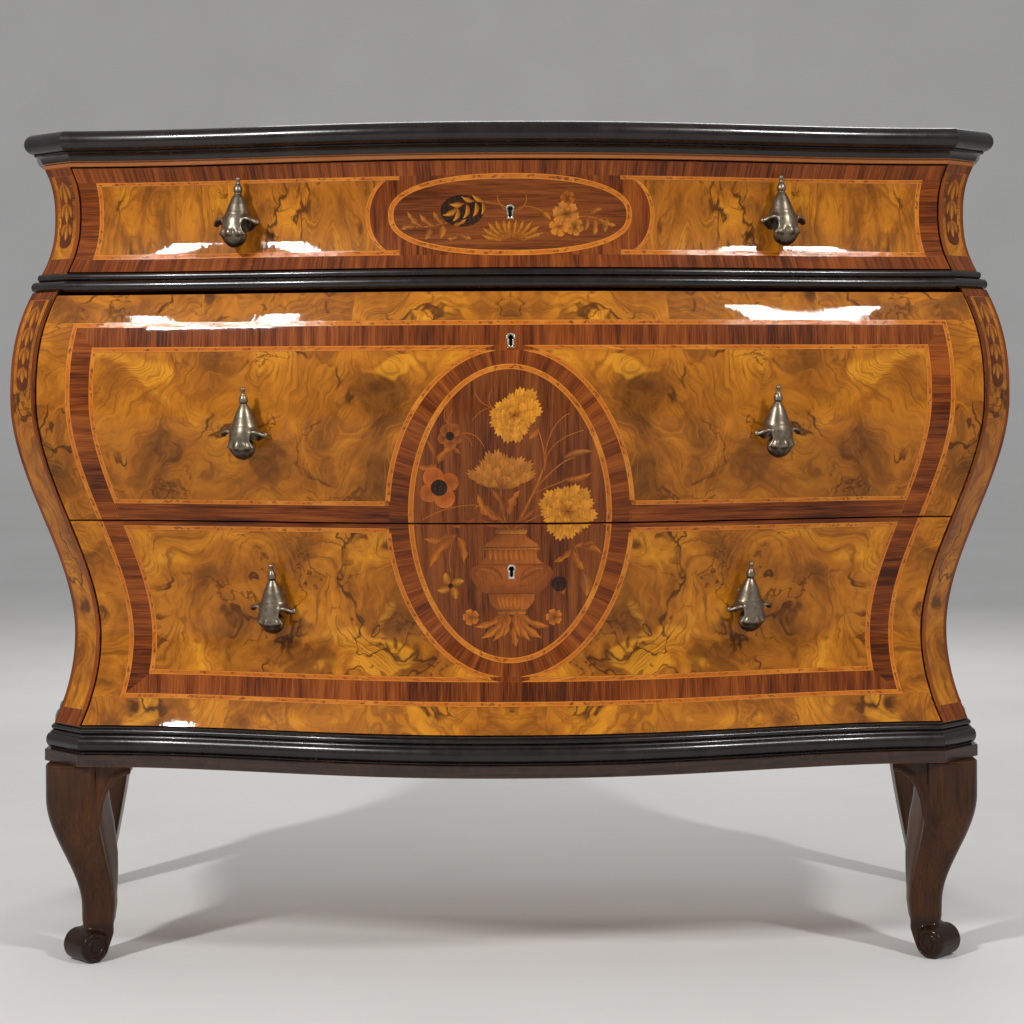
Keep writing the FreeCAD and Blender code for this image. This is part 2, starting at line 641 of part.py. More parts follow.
class Drawer:
    """One drawer: its front's heights, its box and what is fixed to it."""

    def __init__(self, name, low, high, floor, ceiling, key, pull_x, pull_z, lock_top):
        self.name = name
        self.low = low
        self.high = high
        self.floor = floor + RUN_CLEARANCE
        self.ceiling = ceiling - BOX_HEAD_ROOM
        self.key = key
        self.pull_x = pull_x
        self.pull_z = pull_z
        self.lock_top = lock_top
        self.heights = spread(low, high, DRAWER_SECTIONS)
        waist = min(self.swell(z) for z in spread(low, high, SWELL_SAMPLES))
        self.back_out = waist - FRONT_THICKNESS
        self.half = OPENING_HALF + waist - BOX_CLEARANCE
        self.lock_face = front_y(0.0, self.back_out, OPENING_HALF + self.back_out) - LOCK_INLET

    def swell(self, z):
        """Swell of this drawer's stage."""
        return cove_swell(z) if self.low > Z_WAIST else swell(z)

    def shell(self, face_in, face_out):
        """Slice of the front between two depths under its face."""
        sections = []
        for z in self.heights:
            out = self.swell(z)
            half = OPENING_HALF + out
            reach = half - END_GAP
            outer = front_curve(reach, out - face_out, half, z)
            inner_half = OPENING_HALF + self.back_out
            inner = (front_curve(reach, self.back_out, inner_half, z) if face_in is None
                     else front_curve(reach, out - face_in, half, z))
            right = line(outer.valueAt(outer.LastParameter), inner.valueAt(inner.LastParameter))
            sections.append(Part.Wire(Part.__sortEdges__([outer, right, inner, mirrored(right)])))
        return loft(sections)

    def side(self):
        """Right side board, housed in the front."""
        front = -(CORNER_DEPTH + self.back_out + HOUSING_DEPTH)
        return block(Vector(self.half - DRAWER_SIDE_THICKNESS, front, self.floor),
                     Vector(self.half, DRAWER_REAR, self.ceiling))

    def bottom(self):
        """Bottom panel, with its bowed front edge in the front's groove."""
        low = self.floor + DRAWER_BOTTOM_RAISE
        reach = self.half - DRAWER_SIDE_THICKNESS + GROOVE_DEPTH
        out = self.back_out + GROOVE_DEPTH
        front = front_curve(reach, out, OPENING_HALF + out, low)
        start = front.valueAt(front.FirstParameter)
        end = front.valueAt(front.LastParameter)
        corners = [Vector(reach, DRAWER_REAR, low), Vector(-reach, DRAWER_REAR, low)]
        edges = [front, line(end, corners[0]), line(corners[0], corners[1]), line(corners[1], start)]
        return Part.Face(Part.Wire(edges)).extrude(UP * DRAWER_BOTTOM_THICKNESS)

    def back(self):
        """Back board between the sides, standing on the bottom."""
        reach = self.half - DRAWER_SIDE_THICKNESS
        low = self.floor + DRAWER_BOTTOM_RAISE + DRAWER_BOTTOM_THICKNESS
        return block(Vector(-reach, DRAWER_REAR - DRAWER_BACK_THICKNESS, low),
                     Vector(reach, DRAWER_REAR, self.ceiling - DRAWER_BACK_DROP))

    def keyhole(self, wall, front, rear):
        """Keyhole prism, grown by a wall, between two depths."""
        radius = KEYHOLE_RADIUS + wall
        half = 0.5 * KEYHOLE_SLOT + wall
        eye = Part.makeCylinder(radius, rear - front, Vector(0.0, front, self.key), -OUTWARD)
        slot = block(Vector(-half, front, self.key - KEYHOLE_DROP - wall), Vector(half, rear, self.key))
        return eye.fuse(slot).removeSplitter()

    def liner(self):
        """Keyhole liner let into the face of the front."""
        far = -DEPTH - LINER_DEPTH
        blank = self.keyhole(LINER_WALL, far, self.lock_face)
        hole = self.keyhole(0.0, far, self.lock_face)
        return self.shell(LINER_DEPTH, -LINER_PROUD).common(blank).cut(hole)

    def bolt(self):
        """Bolt of the lock, drawn back."""
        rear = self.lock_face + 0.5 * (LOCK_THICKNESS + BOLT_THICKNESS)
        half = 0.5 * BOLT_WIDTH
        return block(Vector(-half, rear - BOLT_THICKNESS, self.lock_top - BOLT_LENGTH),
                     Vector(half, rear, self.lock_top))

    def bolt_room(self, clearance, low, high):
        """Space round the bolt, between two heights."""
        box = self.bolt().BoundBox
        return block(Vector(box.XMin - clearance, box.YMin - clearance, low),
                     Vector(box.XMax + clearance, box.YMax + clearance, high))

    def lock_blank(self):
        """Block that the lock case fills."""
        half = 0.5 * LOCK_WIDTH
        return block(Vector(-half, self.lock_face, self.key - LOCK_BELOW_KEY),
                     Vector(half, self.lock_face + LOCK_THICKNESS, self.lock_top))

    def lock_case(self):
        """Lock case on the inner face, with its key pin."""
        case = self.lock_blank().cut(self.keyhole(0.0, self.lock_face, self.lock_face + KEY_DEPTH))
        pin = Part.makeCylinder(KEY_PIN_RADIUS, KEY_DEPTH, Vector(0.0, self.lock_face, self.key), -OUTWARD)
        room = self.bolt_room(BOLT_CLEARANCE, self.lock_top - BOLT_LENGTH, self.lock_top)
        return case.cut(room).fuse(pin)

    def pull_place(self, side):
        """Frame of one pull on the curved face: across, inwards and up the surface."""
        def face(x, z):
            out = self.swell(z)
            return Vector(x, front_y(x, out, OPENING_HALF + out), z)
        spot = face(side * self.pull_x, self.pull_z)
        across = (face(spot.x + 1.0, spot.z) - face(spot.x - 1.0, spot.z)).normalize()
        upward = (face(spot.x, spot.z + 1.0) - face(spot.x, spot.z - 1.0)).normalize()
        inward = upward.cross(across).normalize()
        upward = across.cross(inward)
        return Placement(Matrix(across.x, inward.x, upward.x, spot.x,
                                across.y, inward.y, upward.y, spot.y,
                                across.z, inward.z, upward.z, spot.z,
                                0.0, 0.0, 0.0, 1.0))

    def at_pulls(self, shape):
        """Copies of a pull piece at both places."""
        copies = []
        for side in (-1, 1):
            copy = shape.copy()
            copy.Placement = self.pull_place(side).multiply(copy.Placement)
            copies.append(copy)
        return copies

    def pieces(self):
        """All nodes of this drawer."""
        case = self.lock_case()
        side = self.side()
        bottom = self.bottom()
        screws = self.at_pulls(pull_screw())
        bores = self.at_pulls(pull_counterbore())
        core = self.shell(None, 0.0)
        keyhole = self.keyhole(0.0, -DEPTH - LINER_DEPTH, self.lock_face)
        liner = self.liner()
        front = core.cut([bottom, side, mirrored(side), keyhole, liner, self.lock_blank()] + screws + bores)
        pulls = [pull.cut(core).cut(screws) for pull in self.at_pulls(bell_pull())]
        side = side.cut(bottom)
        return {self.name + "_front": [front],
                self.name + "_side_right": [side],
                self.name + "_side_left": [mirrored(side)],
                self.name + "_back": [self.back()],
                self.name + "_bottom": [bottom],
                self.name + "_escutcheon": [liner],
                self.name + "_lock_case": [case],
                self.name + "_lock_bolt": [self.bolt()],
                self.name + "_pulls": pulls,
                self.name + "_pull_screws": screws}

    def runner(self, low, high):
        """Right runner with its guide, behind the rail that it is tenoned to."""
        inner = self.half - RUNNER_WIDTH
        bar = block(Vector(inner, -RAIL_BACK, low), Vector(self.half, BACK_FACE, high))
        shoulder = block(Vector(inner, -RAIL_BACK, low), Vector(self.half + RUN_CLEARANCE, SIDE_REAR, high))
        return bar.fuse([shoulder, self.guide(-RAIL_BACK, low, high + GUIDE_HEIGHT)]).removeSplitter()

    def guide(self, front, low, high):
        """Right guide strip beside the drawer."""
        return block(Vector(self.half + RUN_CLEARANCE, front, low),
                     Vector(self.half + RUN_CLEARANCE + GUIDE_WIDTH, SIDE_REAR, high))

    def stop(self):
        """Block on the back panel that stops the drawer as it closes."""
        low = self.floor + DRAWER_BOTTOM_RAISE + DRAWER_BOTTOM_THICKNESS
        half = 0.5 * STOP_WIDTH
        return block(Vector(-half, DRAWER_REAR, low), Vector(half, BACK_FACE, low + STOP_HEIGHT))


def lobe(centre, radius, height):
    """Egg-shaped lobe, turned about an upright axis."""
    side = spline([Vector(radius * math.sin(turn), 0.0, height * math.cos(turn))
                   for turn in spread(0.0, math.pi, LOBE_POINTS)])
    axis = line(Vector(0.0, 0.0, -height), Vector(0.0, 0.0, height))
    egg = Part.Face(Part.Wire([side, axis])).revolve(Vector(0.0, 0.0, 0.0), UP, 360.0)
    egg.translate(centre)
    return egg


def bell_pull():
    """Cast bell-flower pull: finial, collar, bell, front lobe, two ears and the boss that is screwed on."""
    foot = -(BELL_HEIGHT - COLLAR_HEIGHT)
    neck = COLLAR_RADIUS * NECK_SHARE
    profile = [Vector(0.0, 0.0, FINIAL_TIP), Vector(FINIAL_RADIUS, 0.0, FINIAL_TIP - FINIAL_RADIUS),
               Vector(neck, 0.0, COLLAR_HEIGHT + FINIAL_RADIUS), Vector(COLLAR_RADIUS, 0.0, COLLAR_HEIGHT),
               Vector(neck, 0.0, COLLAR_HEIGHT - FINIAL_RADIUS)]
    waist = Vector(BELL_RADIUS * BELL_WAIST_SHARE, 0.0, (COLLAR_HEIGHT + foot) * 0.5)
    rim = Vector(BELL_RADIUS, 0.0, foot)
    edges = [line(start, end) for start, end in zip(profile, profile[1:])]
    edges += [spline([profile[-1], waist, rim]), line(rim, Vector(0.0, 0.0, foot)),
              line(Vector(0.0, 0.0, foot), profile[0])]
    bell = Part.Face(Part.Wire(edges)).revolve(Vector(0.0, 0.0, 0.0), UP, 360.0)
    bell.translate(OUTWARD * PULL_STANDOFF)
    tongue = lobe(Vector(0.0, -PULL_STANDOFF - TONGUE_OUT, foot - LOBE_HEIGHT), LOBE_RADIUS, LOBE_HEIGHT)
    throat = lobe(Vector(0.0, -PULL_STANDOFF, foot), BELL_RADIUS + THROAT_SWELL, LOBE_HEIGHT * THROAT_SHARE)
    root_drop = EAR_DROP * EAR_ROOT_SHARE
    root = Vector(0.0, -PULL_STANDOFF, foot - root_drop)
    reach = Vector(EAR_REACH - EAR_TIP_RADIUS, PULL_STANDOFF - EAR_TIP_RADIUS, root_drop - EAR_DROP)
    tip = Part.makeSphere(EAR_TIP_RADIUS, root + reach)
    ear = Part.makeCone(EAR_ROOT_RADIUS, EAR_TIP_RADIUS, reach.Length, root, reach).fuse(tip)
    boss = Part.makeCylinder(BOSS_RADIUS, 2.0 * PULL_STANDOFF, Vector(0.0, -PULL_STANDOFF, 0.0), -OUTWARD)
    return bell.fuse([throat, tongue, ear, mirrored(ear), boss])


def pull_screw():
    """Screw that holds a pull from inside the front."""
    shank = Part.makeCylinder(SCREW_RADIUS, SCREW_GRIP + SCREW_IN_BOSS, OUTWARD * SCREW_IN_BOSS, -OUTWARD)
    head = Part.makeCylinder(SCREW_HEAD_RADIUS, SCREW_HEAD_HEIGHT, -OUTWARD * SCREW_GRIP, -OUTWARD)
    return shank.fuse(head)


def pull_counterbore():
    """Room for the screw's head, from its seat through the inner face."""
    return Part.makeCylinder(COUNTERBORE_RADIUS, DEPTH, -OUTWARD * SCREW_GRIP, -OUTWARD)


def make_drawers():
    """The three drawers, from the bottom up."""
    shelf = 0.5 * MIDDLE_RAIL_THICKNESS
    bottom = Drawer("bottom_drawer", Z_BODY + SILL_GAP, Z_JOINT - 0.5 * JOINT_GAP, Z_BODY, Z_JOINT - shelf,
                    Z_BODY + BOTTOM_KEY_RISE, BOTTOM_PULL_X, Z_BODY + BOTTOM_PULL_RISE,
                    Z_JOINT - shelf - HEAD_GAP)
    middle = Drawer("middle_drawer", Z_JOINT + 0.5 * JOINT_GAP, Z_WAIST - WAIST_GAP, Z_JOINT + shelf, Z_WAIST,
                    Z_JOINT + MIDDLE_KEY_RISE, MIDDLE_PULL_X, Z_JOINT + MIDDLE_PULL_RISE, Z_WAIST - WAIST_GAP)
    top = Drawer("top_drawer", Z_UPPER + SILL_GAP, Z_TOP_FRAME - HEAD_GAP, Z_UPPER, Z_TOP_FRAME,
                 Z_UPPER + TOP_KEY_RISE, TOP_PULL_X, Z_UPPER + TOP_PULL_RISE, Z_TOP_FRAME - HEAD_GAP)
    return bottom, middle, top


def make_carcase(bottom, middle, top):
    """All fixed nodes, with the mortises that the lock bolts shoot into."""
    shelf = 0.5 * MIDDLE_RAIL_THICKNESS
    depth = BOLT_TRAVEL + MORTISE_CLEARANCE
    mortises = [drawer.bolt_room(MORTISE_CLEARANCE, drawer.lock_top, drawer.lock_top + depth)
                for drawer in (bottom, middle, top)]
    legs = leg_places()
    dowels = [placed(leg_dowel(DOWEL_SETBACK), legs["front"]),
              placed(leg_dowel(REAR_DOWEL_SETBACK), legs["rear"])]
    dowels += [mirrored(peg) for peg in dowels]
    middle_out = bottom.back_out - HEAD_GAP
    middle_half = OPENING_HALF + swell(Z_JOINT - shelf)
    middle_rail = rail(middle_out, middle_half, Z_JOINT - shelf, Z_JOINT + shelf, TENON_LENGTH)
    waist_rail = rail(WAIST_CORE, OPENING_HALF + WAIST_CORE, Z_WAIST, Z_UPPER, TENON_LENGTH)
    post = front_post().cut([middle_rail, waist_rail])
    top_rails = frame(TOP_CORE, Z_TOP_FRAME, Z_PANEL)
    top_rails[0] = top_rails[0].cut(mortises[2])
    side_runners = [middle.runner(Z_JOINT - shelf, Z_JOINT + shelf), top.runner(Z_WAIST, Z_UPPER)]
    side_guides = [bottom.guide(-GUIDE_FRONT, Z_BODY, Z_BODY + GUIDE_HEIGHT)]
    side = side_panel()
    rear = rear_post()
    nodes = {"top_panel": [plate(TOP_CORE, Z_PANEL, Z_TOP)],
             "top_frame": top_rails,
             "waist_rail": [waist_rail.cut(mortises[1])],
             "middle_rail": [middle_rail.cut(mortises[0])],
             "base_frame": [piece.cut(dowels) for piece in frame(BASE_CORE, LEG_HEIGHT, Z_BOARD)],
             "bottom_board": [plate(BASE_CORE, Z_BOARD, Z_BODY)],
             "front_post_right": [post],
             "front_post_left": [mirrored(post)],
             "rear_post_right": [rear],
             "rear_post_left": [mirrored(rear)],
             "side_panel_right": [side],
             "side_panel_left": [mirrored(side)],
             "back_panel": [back_panel()],
             "drawer_runners": side_runners + [mirrored(piece) for piece in side_runners],
             "bottom_drawer_guides": side_guides + [mirrored(piece) for piece in side_guides],
             "drawer_stops": [drawer.stop() for drawer in (bottom, middle, top)],
             "leg_dowels": dowels}
    nodes.update(moulding("base_moulding", BASE_CORE, base_runs(), LEG_HEIGHT))
    nodes.update(moulding("waist_moulding", WAIST_CORE, waist_runs(), Z_WAIST))
    nodes.update(moulding("top_moulding", TOP_CORE, top_runs(), Z_TOP_FRAME))
    blanks = {"front": front_leg(), "rear": rear_leg()}
    for corner, place in legs.items():
        shape = placed(blanks[corner], place).cut(dowels)
        nodes[corner + "_leg_right"] = [shape]
        nodes[corner + "_leg_left"] = [mirrored(shape)]
    return nodes


def export(nodes):
    """Shift every node to the middle of the depth and write it."""
    os.makedirs("parts", exist_ok=True)
    for name, solids in nodes.items():
        pieces = [solid for shape in solids for solid in shape.Solids]
        shape = pieces[0] if len(pieces) == 1 else Part.makeCompound(pieces)
        shape = shape.copy()
        shape.translate(Vector(0.0, 0.5 * DEPTH, 0.0))
        shape.exportStep("parts/" + name + ".step")
        print(name, len(pieces), shape.isValid(), round(sum(piece.Volume for piece in pieces)))


def main():
    """Build and write the whole chest."""
    drawers = make_drawers()
    nodes = make_carcase(*drawers)
    for drawer in drawers:
        nodes.update(drawer.pieces())
    export(nodes)


main()
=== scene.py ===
"""Looks of the bombe chest of drawers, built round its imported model.

Metres, +Z up, front towards -Y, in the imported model's own frame.
"""

import logging
import math
from dataclasses import dataclass
from enum import Enum
from typing import Optional, Sequence, Union

import bmesh
import bpy
import numpy as np
from mathutils import Matrix, Vector


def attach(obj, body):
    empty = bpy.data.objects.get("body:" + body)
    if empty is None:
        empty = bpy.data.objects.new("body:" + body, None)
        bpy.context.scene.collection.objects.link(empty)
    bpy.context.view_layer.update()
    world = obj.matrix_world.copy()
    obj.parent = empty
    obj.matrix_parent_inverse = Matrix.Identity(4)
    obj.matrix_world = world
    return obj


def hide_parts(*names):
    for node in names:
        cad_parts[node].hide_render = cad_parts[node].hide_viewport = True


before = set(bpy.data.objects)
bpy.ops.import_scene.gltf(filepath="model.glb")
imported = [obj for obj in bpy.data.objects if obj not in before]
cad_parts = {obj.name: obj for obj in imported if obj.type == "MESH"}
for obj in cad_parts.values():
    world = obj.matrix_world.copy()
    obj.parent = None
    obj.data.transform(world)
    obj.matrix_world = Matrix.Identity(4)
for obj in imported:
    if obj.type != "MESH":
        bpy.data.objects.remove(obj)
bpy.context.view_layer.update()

logging.basicConfig(level=logging.INFO, format="%(name)s: %(message)s")
log = logging.getLogger("bombe_chest")

Array = np.ndarray
Point = tuple[float, float]
Vec3 = tuple[float, float, float]
Colour = Vec3
Spot = tuple[float, float, float, float, float]
Mesh = bpy.types.Mesh
Socket = bpy.types.NodeSocket
Value = Union[float, Socket]

SIDES = {-1: "left", 1: "right"}
ORIGIN: Vec3 = (0.0, 0.0, 0.0)
UP: Vec3 = (0.0, 0.0, 1.0)
MM = 0.001
PLATE_PITCH = 0.012
PLATE_SINK = 0.0004
FIELD_LEVEL = 0.0005
BAND_LEVEL = 0.0006
STRING_LEVEL = 0.0007
GROUND_LEVEL = 0.0006
INLAY_LEVEL = 0.00068
LAYER_STEP = 0.00005
PIECE_STEP = 0.0000004
LEG_GAP = 0.0002


def stack(*columns: object) -> Array:
    """Rows of points from their coordinates, single numbers being repeated."""
    return np.column_stack(np.broadcast_arrays(*columns))


def full_turn(count: int) -> Array:
    """Evenly spaced angles once round."""
    return np.linspace(0.0, 2.0 * np.pi, count + 1)[:-1]


def resample(table: Array, places: Array) -> Array:
    """Rows of a table at places between its rows."""
    return np.column_stack([np.interp(places, np.arange(len(table)), column) for column in table.T])


# Materials

class Coords(Enum):
    """Where a finish takes its figure from."""

    GRAIN = "grain"
    PLACE = "place"


class Graph:
    """Node tree of one material, written as nested calls."""

    def __init__(self, name: str) -> None:
        """Start a material with an empty tree.

        Args:
            name: Name of the material.
        """
        self.material = bpy.data.materials.new(name)
        self.material.use_nodes = True
        self.tree = self.material.node_tree
        self.tree.nodes.clear()

    def node(self, kind: str, inputs: dict, output: Union[int, str] = 0, **settings: object) -> Socket:
        """Add a node.

        Args:
            kind: Node type without its ShaderNode prefix.
            inputs: Sockets or constants by input name or number.
            output: Which output to return.
            settings: Properties of the node.

        Returns:
            The chosen output socket.
        """
        made = self.tree.nodes.new("ShaderNode" + kind)
        for key, value in settings.items():
            setattr(made, key, value)
        for key, value in inputs.items():
            if isinstance(value, Socket):
                self.tree.links.new(value, made.inputs[key])
            else:
                made.inputs[key].default_value = value
        return made.outputs[output]

    def math(self, operation: str, first: Value, second: Value = 0.0, third: Value = 0.0) -> Socket:
        """Arithmetic on numbers."""
        return self.node("Math", {0: first, 1: second, 2: third}, operation=operation)

    def sum(self, first: Socket, share: float, second: Socket, rest: float) -> Socket:
        """Two numbers added in given shares."""
        return self.math("MULTIPLY_ADD", first, share, self.math("MULTIPLY", second, rest))

    def vector(self, operation: str, first: Socket, second: object, third: object = ORIGIN) -> Socket:
        """Arithmetic on vectors."""
        return self.node("VectorMath", {0: first, 1: second, 2: third}, operation=operation)

    def mix(self, factor: Value, first: object, second: object) -> Socket:
        """Blend a colour into another, a constant being given as three numbers."""
        over = second if isinstance(second, Socket) else (*second, 1.0)
        under = first if isinstance(first, Socket) else (*first, 1.0)
        return self.node("Mix", {0: factor, 6: under, 7: over}, 2, data_type="RGBA", blend_type="MIX")

    def noise(self, place: Socket, scale: float, detail: float = 3.0, rough: float = 0.5,
              twist: float = 0.0, output: int = 0) -> Socket:
        """Cloudy noise, as a number or a colour."""
        inputs = {"Vector": place, "Scale": scale, "Detail": detail, "Roughness": rough, "Distortion": twist}
        return self.node("TexNoise", inputs, output)

    def streaks(self, place: Socket, stretch: Vec3, detail: float = 3.0, rough: float = 0.6) -> Socket:
        """Noise drawn out along the grain."""
        return self.noise(self.vector("MULTIPLY", place, stretch), 1.0, detail, rough)

    def span(self, value: Socket, low: float, high: float, start: float = 0.0, end: float = 1.0) -> Socket:
        """Map a range onto another one, smoothly and clamped."""
        inputs = {"Value": value, "From Min": low, "From Max": high, "To Min": start, "To Max": end}
        return self.node("MapRange", inputs, interpolation_type="SMOOTHSTEP")

    def ramp(self, value: Socket, stops: Sequence[tuple[float, Colour]]) -> Socket:
        """Colours along a number.

        Args:
            value: The number.
            stops: Places along it and their colours.

        Returns:
            The colour.
        """
        made = self.tree.nodes.new("ShaderNodeValToRGB")
        elements = made.color_ramp.elements
        while len(elements) < len(stops):
            elements.new(0.5)
        for element, (place, colour) in zip(elements, stops):
            element.position = place
            element.color = (*colour, 1.0)
        self.tree.links.new(value, made.inputs[0])
        return made.outputs[0]

    def tones(self) -> list[Socket]:
        """The three numbers that the mesh carries as a tone."""
        tone = self.node("Attribute", {}, "Color", attribute_name="tone")
        return [self.node("SeparateColor", {"Color": tone}, channel) for channel in ("Red", "Green", "Blue")]

    def spot(self) -> Socket:
        """The place in the part."""
        return self.node("TexCoord", {}, "Object")

    def coords(self, coords: Coords) -> Socket:
        """The plate's own grain, or the place in the part."""
        if coords is Coords.PLACE:
            return self.spot()
        return self.node("Attribute", {}, "Vector", attribute_name="grain")

    def axis(self, vector: Socket, name: str) -> Socket:
        """One coordinate of a vector."""
        return self.node("SeparateXYZ", {"Vector": vector}, name)

    def bump(self, height: Socket, strength: float, depth: float) -> Socket:
        """Normal with fine relief."""
        return self.node("Bump", {"Height": height, "Strength": strength, "Distance": depth}, "Normal")

    def polish(self, colour: Socket, place: Socket, grain: Socket) -> None:
        """Close the tree as veneer under a hand-rubbed polish.

        Args:
            colour: Colour of the wood.
            place: Where its figure is taken from.
            grain: Fine grain, for the roughness.
        """
        rubbed = self.streaks(self.spot(), (230.0, 230.0, 60.0), 2.0, 0.5)
        relief = self.bump(self.sum(rubbed, 0.28, self.noise(place, 30.0, 2.0), 0.35), 0.11, 0.0012)
        self.surface(Base_Color=colour, Roughness=self.span(grain, 0.3, 0.7, 0.50, 0.40),
                     Specular_Ior_Level=0.05, Coat_Weight=0.28, Coat_Roughness=0.03,
                     Normal=relief, Coat_Normal=relief)

    def surface(self, **inputs: object) -> None:
        """Close the tree with a principled shader, words in names parted by underscores.

        Args:
            inputs: Sockets or constants by input name.
        """
        named = {key.replace("_", " ").replace("Ior", "IOR"): value for key, value in inputs.items()}
        shader = self.node("BsdfPrincipled", named)
        made = self.tree.nodes.new("ShaderNodeOutputMaterial")
        self.tree.links.new(shader, made.inputs["Surface"])


@dataclass(frozen=True)
class Finish:
    """A finish and the record's slot that it stands for."""

    name: str
    slot: str
    coords: Coords = Coords.GRAIN

    def paint(self, graph: Graph, place: Socket) -> None:
        """Fill the material's tree, its figure being taken from a place."""
        raise NotImplementedError

    def material(self) -> bpy.types.Material:
        """The finish's material, made once.

        Returns:
            The material.
        """
        name = f"{self.name}_by_{self.coords.value}"
        found = bpy.data.materials.get(name)
        if found is not None:
            return found
        graph = Graph(name)
        self.paint(graph, graph.coords(self.coords))
        return graph.material


@dataclass(frozen=True)
class BurlWalnut(Finish):
    """Polished burl walnut veneer: golden clouds, smoky bands, thin dark contours and eyes."""

    dark: Colour = (0.0520, 0.0150, 0.0026)
    brown: Colour = (0.1850, 0.0580, 0.0060)
    mid: Colour = (0.3250, 0.1010, 0.0080)
    gold: Colour = (0.4750, 0.1620, 0.0100)
    light: Colour = (0.7200, 0.3000, 0.0180)
    drawn: Vec3 = (1.4, 1.4, 1.4)

    def paint(self, graph: Graph, place: Socket) -> None:
        """Fill the material's tree.

        Args:
            graph: The tree.
            place: Where the figure is taken from.
        """
        place = graph.vector("MULTIPLY", place, self.drawn)
        pale, deep, _ = graph.tones()
        bent = self.sway(graph, place, 4.5, 0.16, 3.0)
        bent = self.sway(graph, bent, 17.0, 0.030, 3.0)
        cloud = graph.math("MULTIPLY_ADD", deep, -0.07, graph.noise(bent, 8.0, 8.0, 0.62, 0.6))
        cloud = graph.math("MULTIPLY_ADD", pale, 0.05, cloud)
        colour = graph.ramp(cloud, [(0.26, self.dark), (0.38, self.brown), (0.47, self.mid),
                                    (0.59, self.gold), (0.74, self.light)])
        lines = graph.node("CombineXYZ", {"X": graph.math("MULTIPLY", graph.noise(bent, 3.2, 2.0), 85.0)})
        streak = graph.vector("MULTIPLY_ADD", place, (14.0, 14.0, 14.0), lines)
        streak = graph.noise(streak, 1.0, 8.0, 0.68)
        patch = graph.math("MULTIPLY_ADD", pale, 0.16, graph.noise(bent, 4.4, 3.0, 0.45))
        colour = graph.mix(graph.span(patch, 0.640, 0.668, 0.0, 0.62), colour, self.light)
        colour = graph.mix(graph.span(streak, 0.46, 0.66, 0.0, 0.80), colour, self.brown)
        colour = graph.mix(graph.span(streak, 0.48, 0.32, 0.0, 0.45), colour, self.gold)
        for scale, width, depth, start in ((5.6, 0.016, 0.85, 0.46), (11.0, 0.014, 0.65, 0.50)):
            vein = graph.math("SUBTRACT", graph.noise(bent, scale, 4.0, 0.55), 0.5)
            vein = graph.span(graph.math("ABSOLUTE", vein), width, 0.002, 0.0, depth)
            where = graph.span(graph.noise(place, 7.0, 3.0), start, start + 0.12)
            colour = graph.mix(graph.math("MULTIPLY", vein, where), colour, self.dark)
        cells = {"Vector": self.sway(graph, bent, 40.0, 0.02, 2.0), "Scale": 13.0}
        knot = graph.span(graph.node("TexVoronoi", cells, "Distance"), 0.24, 0.08, 0.0, 0.80)
        knot = graph.math("MULTIPLY", knot, graph.span(graph.noise(place, 9.0, 2.0), 0.54, 0.60))
        colour = graph.mix(knot, colour, self.dark)
        pores = graph.noise(graph.vector("MULTIPLY", place, (1.0, 0.35, 1.0)), 700.0, 2.0)
        colour = graph.mix(graph.span(pores, 0.56, 0.74, 0.0, 0.28), colour, self.brown)
        graph.polish(colour, place, streak)

    @staticmethod
    def sway(graph: Graph, place: Socket, scale: float, reach: float, detail: float) -> Socket:
        """Place moved about by noise."""
        push = graph.vector("SUBTRACT", graph.noise(place, scale, detail, 0.55, output=1), (0.5, 0.5, 0.5))
        return graph.vector("MULTIPLY_ADD", push, (reach, reach, reach), place)


@dataclass(frozen=True)
class Rosewood(Finish):
    """Polished crossband: fine dark and red streaks along the grain."""

    dark: Colour = (0.046, 0.0092, 0.0022)
    brown: Colour = (0.150, 0.0310, 0.0040)
    red: Colour = (0.285, 0.0700, 0.0090)

    def paint(self, graph: Graph, place: Socket) -> None:
        """Fill the material's tree.

        Args:
            graph: The tree.
            place: Where the figure is taken from.
        """
        fine = graph.streaks(place, (760.0, 24.0, 9.0))
        patch = graph.streaks(place, (13.0, 5.0, 9.0), 1.0, 0.5)
        streak = graph.sum(fine, 0.46, graph.streaks(place, (120.0, 7.0, 9.0), 4.0), 0.60)
        streak = graph.math("MULTIPLY_ADD", patch, 0.34, graph.math("SUBTRACT", streak, 0.20))
        colour = graph.ramp(streak, [(0.36, self.dark), (0.49, self.brown), (0.66, self.red)])
        graph.polish(colour, place, fine)


@dataclass(frozen=True)
class Stringing(Finish):
    """Light string with dark outlines and short darker lengths."""

    light: Colour = (0.560, 0.1950, 0.0220)
    mid: Colour = (0.440, 0.1150, 0.0110)
    tick: Colour = (0.150, 0.0300, 0.0050)

    def paint(self, graph: Graph, place: Socket) -> None:
        """Fill the material's tree.

        Args:
            graph: The tree.
            place: Where the figure is taken from.
        """
        off = graph.math("ABSOLUTE", graph.math("SUBTRACT", graph.axis(place, "Y"), 0.5))
        lengths = graph.streaks(place, (150.0, 1.2, 3.0), 3.0, 0.65)
        patch = graph.streaks(place, (22.0, 0.2, 3.0), 2.0, 0.5)
        colour = graph.mix(graph.span(patch, 0.44, 0.70), self.mid, self.light)
        colour = graph.mix(graph.span(lengths, 0.52, 0.64, 0.0, 0.85), colour, self.tick)
        colour = graph.mix(graph.span(off, 0.27, 0.33, 0.0, 0.80), colour, self.light)
        colour = graph.mix(graph.span(off, 0.43, 0.49, 0.0, 0.85), colour, self.tick)
        graph.polish(colour, place, lengths)


